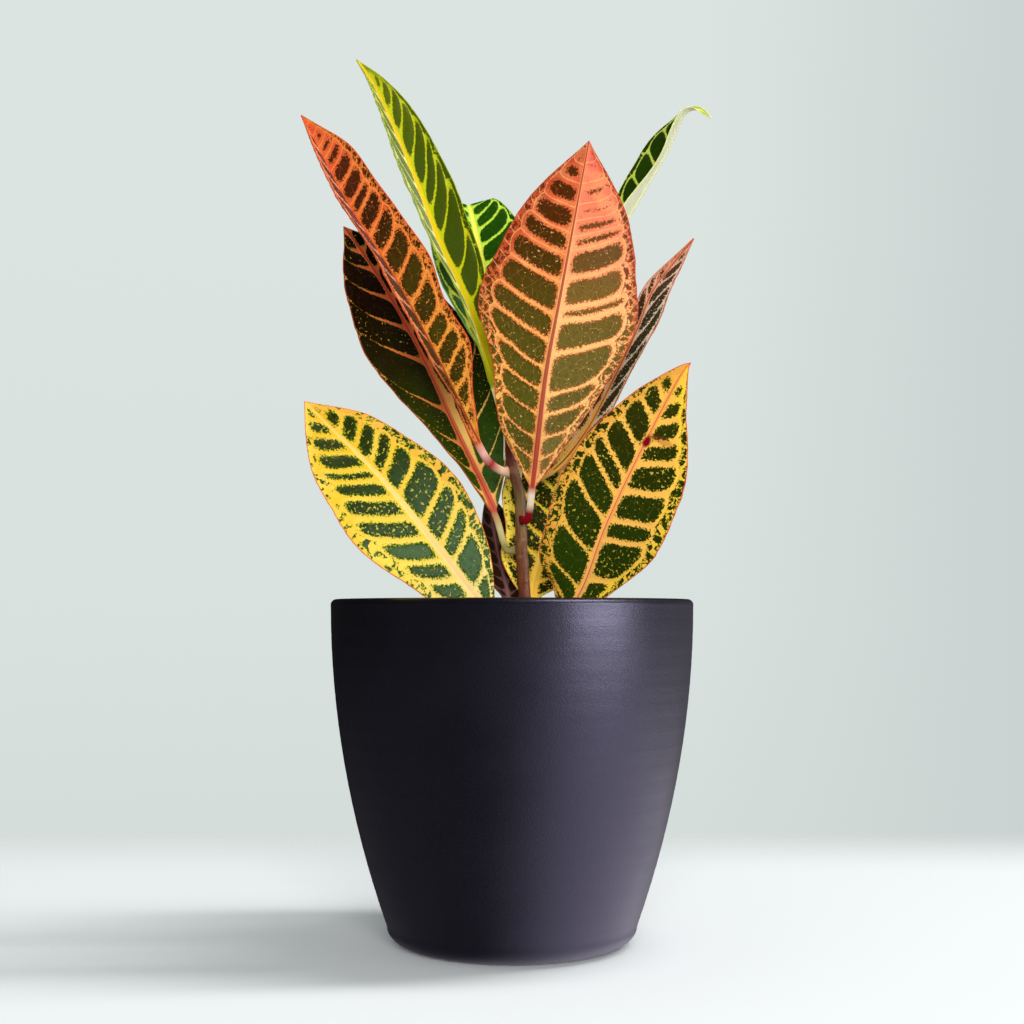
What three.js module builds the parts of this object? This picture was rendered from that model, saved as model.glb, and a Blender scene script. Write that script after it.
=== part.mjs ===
// Potted croton: one stem with fifteen patterned leaves, standing in a soil-filled round pot.
// Units are millimetres. Z is up, the pot's axis is the Z axis, and the pot stands on Z = 0.
// The front of the plant faces -Y.
import * as THREE from 'three';

// Driving dimensions

const POT_HEIGHT = 132;
const POT_RIM_RADIUS = 70.5;
const POT_TAPER = 25;
const POT_WALL = 5;
const POT_FLOOR = 8;
const POT_BASE_RADIUS = 37;
const POT_BASE_ROUND_HEIGHT = 7.2;
const POT_LIP_ROUND = 2.2;
const AROUND = 48;

const SOIL_LEVEL = 107;
const SOIL_GAP = 0.4;
const SOIL_RINGS = 9;

const STEM_FOOT = [5.3, 0, 88.4];
const STEM_HOLE_RADIUS = 3.1;
const STEM_SIDES = 12;
const STEM_ROWS = 22;

const LEAF_ROWS = 20;
const YOUNG_LEAF_ROWS = 11;
const BLADE_THICKNESS = 0.8;
const PETIOLE_HALF_WIDTH = 1.3;
const TIP_HALF_WIDTH = 0.35;
const KEEL_AT_STALK = 1.4;
const KEEL_AT_TIP = 0.1;
const LEAF_SEAT_GAP = 0.4;
const LEAF_START_LENGTH = 2.5;

// The stem: centre line points with the radius there, from the foot up
const STEM = [
  [5.3, 0, 88.4, 2.6],
  [5.3, 0, 116, 2.5],
  [4.8, 0, 134, 2.4],
  [3.9, 0, 149, 2.3],
  [3.5, 0, 162, 2.2],
  [2.8, 0, 174, 2.1],
  [-0.2, 0, 185, 2.0],
  [-1, 0.8, 195, 1.8],
  [-1.6, 1.2, 203, 1.5],
];

// The leaves.
// joint: height on the stem and direction of the stalk's start, in degrees from +X.
// spine: the rest of the midrib's points. petiole: length of stalk before the blade.
// left, right: half-widths at even steps from blade base to tip, seen from above with the tip up.
// face: the way the upper side looks at the stalk and at the tip.
// fold: how far each half is folded up at the midrib, and cup: how much more by its margin (degrees).
// wave: height, count and phase of the margin's waves.
const LEAVES = {
  leaf_front_pink: {
    joint: [163, -60],
    spine: [[8, -10, 176], [13, -20, 218], [19, -27, 250], [29, -34, 304]],
    petiole: 17,
    left: [13, 24, 30.5, 27, 18.5],
    right: [15, 20.5, 31, 26.5, 17.5],
    face: [[0.05, 1, 0.1], [-0.05, 1, -0.05]],
    fold: [10, 10],
    cup: [6, 6],
    wave: [1, 2, 0],
    colour: 0xc9704c,
  },
  leaf_left_red: {
    joint: [182, -130],
    spine: [[-8, -8, 185], [-13, -12, 193], [-27, -19, 221], [-44, -22, 253], [-64, -23, 285], [-81, -22, 318]],
    petiole: 20,
    left: [5, 12, 11, 13, 14, 13, 10],
    right: [5, 13, 11, 15, 15, 13, 10.5],
    face: [[1, -1, 0.1], [1, -1, 0.3]],
    fold: [38, 42],
    cup: [5, 5],
    wave: [1, 2.5, 0],
    colour: 0xb8472a,
  },
  leaf_left_dark: {
    joint: [151.5, -160],
    spine: [[-3, 3, 155], [-6, 7, 165], [-22, 15, 199], [-39, 20, 236], [-56, 20, 266], [-69, 19, 285]],
    petiole: 15,
    left: [4.5, 13, 23.5, 25.5, 18],
    right: [10, 22, 23, 19.5, 15],
    face: [[0.45, -1, 0.2], [0.3, -1, 0.3]],
    fold: [15, 12],
    cup: [5, 5],
    wave: [1, 2, 0],
    colour: 0x2c2418,
  },
  leaf_tall_green: {
    joint: [188, -150],
    spine: [[-5, 0, 201], [-8, 2, 220], [-18, 4, 250], [-29, 6, 274], [-40, 8, 303], [-56, 9, 340], [-63, 8, 351]],
    petiole: 33,
    left: [4.5, 6, 10, 13.5, 8.5],
    right: [4.5, 12.5, 14, 13.5, 10],
    face: [[1, -1, 0.1], [1, -1, 0.2]],
    fold: [24, 30],
    cup: [5, 5],
    wave: [0.5, 2, 0],
    colour: 0x5f7d1c,
  },
  leaf_back_green: {
    joint: [190, 140],
    spine: [[-4, 10, 210], [-9, 18, 242], [-14, 26, 279], [-18, 33, 297], [-20, 50, 299]],
    petiole: 25,
    left: [3, 10.5, 18, 21, 18],
    right: [8.5, 14.5, 18.5, 19.5, 12],
    face: [[0, -1, 0.1], [0, -0.3, 1]],
    fold: [12, 12],
    cup: [8, 8],
    wave: [0.5, 2, 0],
    colour: 0x2f6b25,
  },
  leaf_small_maroon: {
    joint: [126, 170],
    spine: [[-2, 13, 136], [-6, 21, 152], [-10, 30, 177]],
    petiole: 12,
    left: [5, 7, 7, 5, 3],
    right: [9, 12, 12, 9, 5],
    face: [[0.3, -1, 0.2], [0.3, -1, 0.3]],
    fold: [5, 5],
    cup: [5, 5],
    wave: [0.5, 2, 0],
    colour: 0x3a1f24,
  },
  leaf_left_gold: {
    joint: [120, -130],
    spine: [[-6, -12, 124], [-14, -18, 133], [-31, -29, 155], [-49, -37, 177], [-68, -42, 196], [-76, -43, 204]],
    petiole: 15,
    left: [13.5, 20, 26, 25.5, 18.5],
    right: [12.5, 19.5, 21.5, 18, 12.5],
    face: [[0.1, -1, 0.5], [0.1, -1, 0.5]],
    fold: [8, 8],
    cup: [5, 5],
    wave: [0.5, 2, 0],
    colour: 0xc79a34,
  },
  leaf_right_narrow: {
    joint: [192, 20],
    spine: [
      [8, 12, 212], [22, 26, 241], [42, 34, 281], [58, 38, 309],
      [67, 39, 321], [73, 38, 331], [78, 37, 337], [82, 36, 339], [85, 35, 336],
    ],
    petiole: 25,
    left: [6.5, 8.5, 10, 10.5, 11.5, 11, 10.5],
    right: [6.5, 9, 10.5, 11, 9, 5, 7],
    face: [[-0.85, -0.2, 0.5], [-0.85, -0.2, 0.5]],
    fold: [30, 30],
    cup: [5, 5],
    wave: [0.5, 2, 0],
    colour: 0x6f8a35,
  },
  leaf_right_dark: {
    joint: [173, 40],
    spine: [
      [9, 7, 179], [18, 10, 185], [30, 14, 200], [38, 17, 215],
      [51, 20, 242], [58, 22, 259], [67, 23, 271], [75, 23, 281],
    ],
    petiole: 20,
    left: [7.5, 6.5, 5.5, 5.5, 3],
    right: [5, 7, 8, 10.5, 7.5],
    face: [[0, -1, 0.2], [0, -1, 0.2]],
    fold: [42, 42],
    cup: [5, 5],
    wave: [0.5, 2, 0],
    colour: 0x4a4238,
  },
  leaf_right_gold: {
    joint: [117, -45],
    spine: [[14, -11, 121], [25, -18, 133], [35, -27, 159], [49, -34, 189], [64, -39, 217], [66, -39, 219]],
    petiole: 17,
    left: [17, 20.5, 22.5, 19, 11.5],
    right: [9.5, 21, 23.5, 20, 10],
    face: [[-0.1, -1, 0.4], [-0.1, -1, 0.4]],
    fold: [8, 8],
    cup: [5, 5],
    wave: [0.5, 2, 0],
    colour: 0xb98a35,
  },
  leaf_low_back: {
    joint: [126, 50],
    spine: [[8, 6, 135], [14, 14, 156], [20, 24, 181], [26, 34, 205]],
    petiole: 8,
    left: [14, 16, 21, 21, 14.5],
    right: [16, 18, 18, 15, 8],
    face: [[-0.1, -1, 0.3], [-0.1, -1, 0.3]],
    fold: [8, 8],
    cup: [5, 5],
    wave: [0.5, 2, 0],
    colour: 0x31421c,
  },
  leaf_rear_left: {
    joint: [180, 75],
    spine: [[2, 22, 199], [-6, 40, 215], [-20, 65, 235], [-32, 92, 253]],
    petiole: 24,
    left: [10, 17, 19, 15, 9],
    right: [10, 17, 19, 15, 9],
    face: [[0.1, -0.8, 0.6], [0.1, -0.6, 0.8]],
    fold: [15, 15],
    cup: [8, 8],
    wave: [1, 2, 0],
    colour: 0x4a5c1f,
  },
  leaf_rear_right: {
    joint: [198, 75],
    spine: [[7, 30, 218], [18, 62, 250], [28, 95, 281]],
    petiole: 24,
    left: [10, 17, 19, 15, 9],
    right: [10, 17, 19, 15, 9],
    face: [[-0.1, -0.8, 0.6], [-0.1, -0.6, 0.8]],
    fold: [15, 15],
    cup: [8, 8],
    wave: [1, 2, 0],
    colour: 0x8a5a2a,
  },
  leaf_young_left: {
    joint: [202.4, 90],
    spine: [[-1, 6, 208], [0.5, 5, 220], [2, 6, 238]],
    petiole: 9,
    left: [3, 5, 5, 4, 2],
    right: [3, 5, 5, 4, 2],
    face: [[-0.2, -1, 0.1], [-0.2, -1, 0.1]],
    fold: [35, 35],
    cup: [5, 5],
    wave: [0.3, 2, 0],
    rows: YOUNG_LEAF_ROWS,
    colour: 0x7d9a30,
  },
  leaf_young_right: {
    joint: [201.5, -45],
    spine: [[3, -2.5, 206], [7, -4, 219], [13, -7, 236]],
    petiole: 9,
    left: [3, 5, 5, 4, 2],
    right: [3, 5, 5, 4, 2],
    face: [[-0.4, 1, 0.2], [-0.4, 1, 0.2]],
    fold: [30, 30],
    cup: [5, 5],
    wave: [0.3, 2, 0],
    rows: YOUNG_LEAF_ROWS,
    colour: 0x8ea63a,
  },
};

// Small helpers

const degrees = (angle) => (angle * Math.PI) / 180;
const clamp01 = (value) => Math.min(1, Math.max(0, value));
const smooth = (value) => value * value * (3 - 2 * value);
const vector = (values) => new THREE.Vector3(values[0], values[1], values[2]);

// Even-step Catmull-Rom spline through plain numbers, its ends carried on straight.
function numberSpline(values, at) {
  const last = values.length - 1;
  const place = clamp01(at) * last;
  const index = Math.min(Math.floor(place), last - 1);
  const w = place - index;
  const p1 = values[index];
  const p2 = values[index + 1];
  const p0 = index > 0 ? values[index - 1] : 2 * p1 - p2;
  const p3 = index + 2 <= last ? values[index + 2] : 2 * p2 - p1;
  const t0 = (p2 - p0) / 2;
  const t1 = (p3 - p1) / 2;
  return (2 * p1 - 2 * p2 + t0 + t1) * w ** 3 + (-3 * p1 + 3 * p2 - 2 * t0 - t1) * w ** 2 + t0 * w + p1;
}

// A curve through points, read by the length travelled along it.
function spine(points) {
  const steps = 400;
  const curve = new THREE.CatmullRomCurve3(points, false, 'centripetal');
  const dots = [];
  const lengths = [0];
  for (let i = 0; i <= steps; i += 1) {
    dots.push(curve.getPoint(i / steps));
    if (i > 0) {
      lengths.push(lengths[i - 1] + dots[i].distanceTo(dots[i - 1]));
    }
  }
  const total = lengths[steps];
  const pointAt = (distance) => {
    const wanted = Math.min(total, Math.max(0, distance));
    let i = 0;
    while (i < steps - 1 && lengths[i + 1] < wanted) {
      i += 1;
    }
    const part = (wanted - lengths[i]) / (lengths[i + 1] - lengths[i]);
    return dots[i].clone().lerp(dots[i + 1], part);
  };
  const tangentAt = (distance) => {
    const step = 0.003 * total;
    return pointAt(distance + step).sub(pointAt(distance - step)).normalize();
  };
  return { total, pointAt, tangentAt };
}

// A closed mesh from a list of rings of equal length; end rings of one point are poles.
function ringsMesh(rings, name, colour) {
  const positions = [];
  const starts = [];
  for (const ring of rings) {
    starts.push(positions.length / 3);
    for (const point of ring) {
      positions.push(point[0], point[1], point[2]);
    }
  }
  const indices = [];
  for (let i = 0; i + 1 < rings.length; i += 1) {
    const lower = rings[i].length;
    const upper = rings[i + 1].length;
    const count = Math.max(lower, upper);
    for (let j = 0; j < count; j += 1) {
      const next = (j + 1) % count;
      if (lower === 1) {
        indices.push(starts[i], starts[i + 1] + next, starts[i + 1] + j);
      } else if (upper === 1) {
        indices.push(starts[i] + j, starts[i] + next, starts[i + 1]);
      } else {
        indices.push(starts[i] + j, starts[i] + next, starts[i + 1] + next);
        indices.push(starts[i] + j, starts[i + 1] + next, starts[i + 1] + j);
      }
    }
  }
  return meshOf(positions, indices, name, colour);
}

function meshOf(positions, indices, name, colour) {
  const geometry = new THREE.BufferGeometry();
  geometry.setAttribute('position', new THREE.Float32BufferAttribute(positions, 3));
  geometry.setIndex(indices);
  geometry.computeVertexNormals();
  const material = new THREE.MeshStandardMaterial({ color: colour, roughness: 0.5 });
  material.name = `${name}_material`;
  const mesh = new THREE.Mesh(geometry, material);
  mesh.name = name;
  return mesh;
}

function circle(radius, z, centreX = 0) {
  const ring = [];
  for (let j = 0; j < AROUND; j += 1) {
    const angle = (2 * Math.PI * j) / AROUND;
    ring.push([centreX + radius * Math.cos(angle), radius * Math.sin(angle), z]);
  }
  return ring;
}

// Pot

const potRadius = (z) => POT_RIM_RADIUS - POT_TAPER * (1 - z / POT_HEIGHT) ** 2;
const INNER_ROWS = [104, 88, 72, 56, 40, 26, 16];
const INNER_FLOOR_RADIUS = 41;

function buildPot() {
  const lipZ = POT_HEIGHT - POT_LIP_ROUND;
  const rows = [[0, 0]];
  const startRadius = potRadius(POT_BASE_ROUND_HEIGHT);
  for (let k = 0; k <= 4; k += 1) {
    const angle = degrees(22.5 * k);
    const reach = startRadius - POT_BASE_RADIUS;
    rows.push([POT_BASE_RADIUS + reach * Math.sin(angle), POT_BASE_ROUND_HEIGHT * (1 - Math.cos(angle))]);
  }
  for (const z of [18, 32, 48, 64, 82, 104]) {
    rows.push([potRadius(z), z]);
  }
  const outer = POT_RIM_RADIUS - POT_LIP_ROUND;
  const inner = POT_RIM_RADIUS - POT_WALL + POT_LIP_ROUND;
  for (const turn of [0, 30, 60, 90]) {
    const angle = degrees(turn);
    rows.push([outer + POT_LIP_ROUND * Math.cos(angle), lipZ + POT_LIP_ROUND * Math.sin(angle)]);
  }
  for (const turn of [90, 120, 150, 180]) {
    const angle = degrees(turn);
    rows.push([inner + POT_LIP_ROUND * Math.cos(angle), lipZ + POT_LIP_ROUND * Math.sin(angle)]);
  }
  for (const z of INNER_ROWS) {
    rows.push([potRadius(z) - POT_WALL, z]);
  }
  rows.push([INNER_FLOOR_RADIUS, POT_FLOOR]);
  rows.push([0, POT_FLOOR]);
  const rings = rows.map(([radius, z]) => (radius === 0 ? [[0, 0, z]] : circle(radius, z)));
  return ringsMesh(rings, 'pot', 0x2b2a31);
}

// Soil: it fills the pot, with low lumps on top and a plain blind hole for the stem

function soilRelief(x, y) {
  const lumps = 0.9 * Math.sin(0.21 * x + 0.6) * Math.cos(0.17 * y - 0.4);
  return lumps + 0.5 * Math.sin(0.37 * x - 0.29 * y) + 0.4 * Math.cos(0.43 * y + 0.11 * x + 1);
}

function buildSoil() {
  const edge = potRadius(SOIL_LEVEL) - POT_WALL - SOIL_GAP - 0.2;
  const rings = [[[0, 0, POT_FLOOR + SOIL_GAP]]];
  rings.push(circle(INNER_FLOOR_RADIUS - SOIL_GAP, POT_FLOOR + SOIL_GAP));
  for (const z of [...INNER_ROWS].reverse().slice(0, -1)) {
    rings.push(circle(potRadius(z) - POT_WALL - SOIL_GAP, z));
  }
  rings.push(circle(potRadius(104) - POT_WALL - SOIL_GAP, 104));
  for (let k = 0; k <= SOIL_RINGS; k += 1) {
    const part = 1 - k / SOIL_RINGS;
    const ring = [];
    for (let j = 0; j < AROUND; j += 1) {
      const angle = (2 * Math.PI * j) / AROUND;
      const near = [STEM_FOOT[0] + STEM_HOLE_RADIUS * Math.cos(angle), STEM_HOLE_RADIUS * Math.sin(angle)];
      const far = [edge * Math.cos(angle), edge * Math.sin(angle)];
      const x = near[0] + (far[0] - near[0]) * part;
      const y = near[1] + (far[1] - near[1]) * part;
      const fade = Math.sin(Math.PI * clamp01(part * 0.9 + 0.05));
      ring.push([x, y, SOIL_LEVEL + soilRelief(x, y) * fade]);
    }
    rings.push(ring);
  }
  rings.push(circle(STEM_HOLE_RADIUS, STEM_FOOT[2] - SOIL_GAP, STEM_FOOT[0]));
  rings.push([[STEM_FOOT[0], 0, STEM_FOOT[2] - SOIL_GAP]]);
  return ringsMesh(rings, 'soil', 0x2a1e16);
}

// Stem

const stemLine = spine(STEM.map(vector));
const stemRadii = STEM.map((row) => row[3]);

function stemAtHeight(z) {
  let low = 0;
  let high = stemLine.total;
  for (let i = 0; i < 40; i += 1) {
    const middle = (low + high) / 2;
    if (stemLine.pointAt(middle).z < z) {
      low = middle;
    } else {
      high = middle;
    }
  }
  const heights = STEM.map((row) => row[2]);
  let i = 0;
  while (i < heights.length - 2 && heights[i + 1] < z) {
    i += 1;
  }
  const part = clamp01((z - heights[i]) / (heights[i + 1] - heights[i]));
  return { centre: stemLine.pointAt(low), radius: stemRadii[i] + (stemRadii[i + 1] - stemRadii[i]) * part };
}

function buildStem() {
  const rings = [];
  const foot = STEM_FOOT;
  rings.push([foot]);
  for (let i = 0; i <= STEM_ROWS; i += 1) {
    const distance = (stemLine.total * i) / STEM_ROWS;
    const centre = stemLine.pointAt(distance);
    const tangent = stemLine.tangentAt(distance);
    const sideways = new THREE.Vector3(0, 1, 0).cross(tangent).normalize();
    const backwards = tangent.clone().cross(sideways);
    const radius = stemAtHeight(centre.z).radius;
    const ring = [];
    for (let j = 0; j < STEM_SIDES; j += 1) {
      const angle = (2 * Math.PI * j) / STEM_SIDES;
      const point = centre.clone()
        .addScaledVector(sideways, radius * Math.cos(angle))
        .addScaledVector(backwards, radius * Math.sin(angle));
      ring.push([point.x, point.y, i === 0 ? foot[2] : point.z]);
    }
    rings.push(ring);
  }
  const top = stemLine.pointAt(stemLine.total).addScaledVector(stemLine.tangentAt(stemLine.total), 1);
  rings.push([[top.x, top.y, top.z]]);
  return ringsMesh(rings, 'stem', 0x6b4a3a);
}

// Leaves: stalk, blade and keeled midrib as one closed loft

function leafSpine(leaf) {
  const [height, direction] = leaf.joint;
  const { centre, radius } = stemAtHeight(height);
  const outward = new THREE.Vector3(Math.cos(degrees(direction)), Math.sin(degrees(direction)), 0);
  const seat = centre.clone().addScaledVector(outward, radius + LEAF_SEAT_GAP);
  const start = seat.clone().addScaledVector(outward, LEAF_START_LENGTH);
  return spine([seat, start, ...leaf.spine.map(vector)]);
}

function buildLeaf(name, leaf) {
  const line = leafSpine(leaf);
  const rows = leaf.rows ?? LEAF_ROWS;
  const stalkPart = leaf.petiole / line.total;
  const faceStart = vector(leaf.face[0]).normalize();
  const faceEnd = vector(leaf.face[1]).normalize();
  const upperRows = [];
  const lowerRows = [];
  for (let i = 0; i < rows; i += 1) {
    const along = i / (rows - 1);
    const b = clamp01((along - stalkPart) / (1 - stalkPart));
    const centre = line.pointAt(along * line.total);
    const tangent = line.tangentAt(along * line.total);
    const normal = faceStart.clone().lerp(faceEnd, smooth(b));
    normal.addScaledVector(tangent, -normal.dot(tangent)).normalize();
    const across = tangent.clone().cross(normal);
    const plain = PETIOLE_HALF_WIDTH * (1 - b) + TIP_HALF_WIDTH * b;
    const keel = KEEL_AT_STALK * (1 - b) + KEEL_AT_TIP * b;
    const grow = clamp01(b / 0.12);
    const upper = [];
    const lower = [];
    for (const side of [-1, 1]) {
      const knots = side < 0 ? leaf.left : leaf.right;
      const wide = b > 0 && b < 1 ? Math.max(0, numberSpline([0, ...knots, 0], b)) : 0;
      const width = plain + wide;
      const fold = degrees(side < 0 ? leaf.fold[0] : leaf.fold[1]) * grow;
      const cup = degrees(side < 0 ? leaf.cup[0] : leaf.cup[1]) * grow + 1e-6;
      const keelPart = Math.min(1.3, 0.6 * width) / width;
      const parts = side < 0 ? [1, (1 + keelPart) / 2, keelPart] : [0, keelPart, (1 + keelPart) / 2, 1];
      for (const r of parts) {
        const turn = fold + cup * r;
        const out = ((Math.sin(turn) - Math.sin(fold)) / cup) * width;
        const [waveHeight, waveCount, wavePhase] = leaf.wave;
        const wave = waveHeight * Math.sin(2 * Math.PI * (waveCount * b + wavePhase + 0.25 * side));
        const lift = ((Math.cos(fold) - Math.cos(turn)) / cup) * width + wave * r * r * Math.sin(Math.PI * b);
        const top = centre.clone().addScaledVector(across, side * out).addScaledVector(normal, lift);
        const local = normal.clone().multiplyScalar(Math.cos(turn)).addScaledVector(across, -side * Math.sin(turn));
        const keelShare = r === 0 ? 1 : r === keelPart ? 0.5 : 0;
        upper.push(top);
        lower.push(top.clone().addScaledVector(local, -(BLADE_THICKNESS + keel * keelShare)));
      }
    }
    upperRows.push(upper);
    lowerRows.push(lower);
  }
  return loftMesh(upperRows, lowerRows, name, leaf.colour);
}

// Closes an upper and a lower sheet of points into one solid, split alike on both faces.
function loftMesh(upperRows, lowerRows, name, colour) {
  const rows = upperRows.length;
  const columns = upperRows[0].length;
  const positions = [];
  for (const sheet of [upperRows, lowerRows]) {
    for (const row of sheet) {
      for (const point of row) {
        positions.push(point.x, point.y, point.z);
      }
    }
  }
  const up = (i, j) => i * columns + j;
  const low = (i, j) => (rows + i) * columns + j;
  const indices = [];
  const quad = (a, b, c, d) => indices.push(a, b, c, a, c, d);
  for (let i = 0; i + 1 < rows; i += 1) {
    for (let j = 0; j + 1 < columns; j += 1) {
      quad(up(i, j), up(i, j + 1), up(i + 1, j + 1), up(i + 1, j));
      indices.push(low(i, j), low(i + 1, j + 1), low(i, j + 1));
      indices.push(low(i, j), low(i + 1, j), low(i + 1, j + 1));
    }
    quad(low(i, 0), up(i, 0), up(i + 1, 0), low(i + 1, 0));
    quad(up(i, columns - 1), low(i, columns - 1), low(i + 1, columns - 1), up(i + 1, columns - 1));
  }
  for (let j = 0; j + 1 < columns; j += 1) {
    quad(low(0, j), low(0, j + 1), up(0, j + 1), up(0, j));
    quad(up(rows - 1, j), up(rows - 1, j + 1), low(rows - 1, j + 1), low(rows - 1, j));
  }
  return meshOf(positions, indices, name, colour);
}

const plant = new THREE.Group();
plant.name = 'potted_croton';
plant.add(buildPot());
plant.add(buildSoil());
plant.add(buildStem());
for (const [name, leaf] of Object.entries(LEAVES)) {
  plant.add(buildLeaf(name, leaf));
}

export default plant;
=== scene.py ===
"""Potted croton: the looks around the packed model of the same plant.

The finished pot, soil, stem and leaves each replace the plain solid of the same name.
Lengths in the tables below are in millimetres, as on the real plant; meshes are in metres.
"""

import math

import bpy
import numpy as np
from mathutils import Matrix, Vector


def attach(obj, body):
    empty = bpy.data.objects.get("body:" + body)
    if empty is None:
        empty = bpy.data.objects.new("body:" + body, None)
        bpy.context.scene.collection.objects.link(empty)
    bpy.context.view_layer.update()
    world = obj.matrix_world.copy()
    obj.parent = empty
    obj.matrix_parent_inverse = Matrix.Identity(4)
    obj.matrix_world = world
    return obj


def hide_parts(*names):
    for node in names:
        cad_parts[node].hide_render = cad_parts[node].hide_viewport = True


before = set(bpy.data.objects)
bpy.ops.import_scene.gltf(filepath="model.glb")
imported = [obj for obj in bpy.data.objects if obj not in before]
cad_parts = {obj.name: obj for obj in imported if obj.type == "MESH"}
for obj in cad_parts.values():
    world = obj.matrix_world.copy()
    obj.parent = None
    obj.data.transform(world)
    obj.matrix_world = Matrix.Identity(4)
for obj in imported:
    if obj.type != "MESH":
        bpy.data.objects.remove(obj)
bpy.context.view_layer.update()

bl_info = {
    "name": "Potted croton",
    "version": (1, 0, 0),
    "blender": (4, 5, 0),
    "location": "3D Viewport > Sidebar > Croton",
    "description": "Builds a potted croton with patterned leaves around its solid model",
    "category": "Add Mesh",
}

MM = 0.001
BODY = "root"

# Heights: where the pot's rounded foot ends, its inside floor, and where the stem's joints begin
FOOT_ROUND = 7.2
POT_FLOOR = 8
JOINTS_FROM = 112

# Lengths: how far the pot's underside is hollowed, the air between pot and soil, and how far back from
# its seat on the bark a stalk starts
HOLLOW = 0.5
SOIL_GAP = 0.5
SUNK = 0.9

# The stem: centre line points with the radius there, from the foot up
STEM_LINE = [
    (5.3, 0, 88.4, 2.6), (5.3, 0, 116, 2.5), (4.8, 0, 134, 2.4), (3.9, 0, 149, 2.3),
    (3.5, 0, 162, 2.2), (2.8, 0, 174, 2.1), (-0.2, 0, 185, 2.0), (-1, 0.8, 195, 1.8),
    (-1.6, 1.2, 203, 1.5),
]

# Scars of leaves that have dropped: height on the stem, and direction in degrees from +X
OLD_SCARS = [(140, 120), (146, 10), (134, -80), (156, -170)]

# What a leaf has where its own entry gives nothing else; the keys are explained above the leaves
USUAL = {
    "stalk_half": 1.4, "relief": 1, "cup": 5, "wave": (0.5, 2),
    "edge_reach": 1, "edge_from": (-1, -0.5), "core_wide": (0.12, 0.05), "rib_gap": 0.35, "taper": 0.3,
    "fringe": (9, 0.05, 1), "ragged": 0.3, "fleck": 0, "speck": 0, "mesh": 0.3, "grain": 1, "lines": 1,
    "branches": 1, "under": 0.35, "pale": (176, 178, 120), "gloss": 1,
}

# What the two leaves at the back share, and what the two young ones do
REAR = {
    "stalk": 24, "halves": [10, 17, 19, 15, 9], "fold": 15, "cup": 8, "wave": (1, 2), "arch": 4,
    "rib_wide": (1.4, 0.5), "speck": 0.2,
}
YOUNG = {
    "stalk": 9, "halves": [3, 5, 5, 4, 2], "wave": (0.3, 2), "veins": [4, 8, 12, 16, 20, 24],
    "lean": [0.8, 0.9], "arch": 1, "loop": 0.85, "rib_wide": (0.7, 0.3), "core_wide": (0.08, 0.04),
    "band": 0.4, "fringe": (3, 0.2, 0.9), "ragged": 0.4, "mesh": 0.2, "under": 0.4,
}


def leaf_entry(**own):
    """A leaf's entry: what is usual, with its own values in place of it."""
    return {**USUAL, **own}


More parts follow.
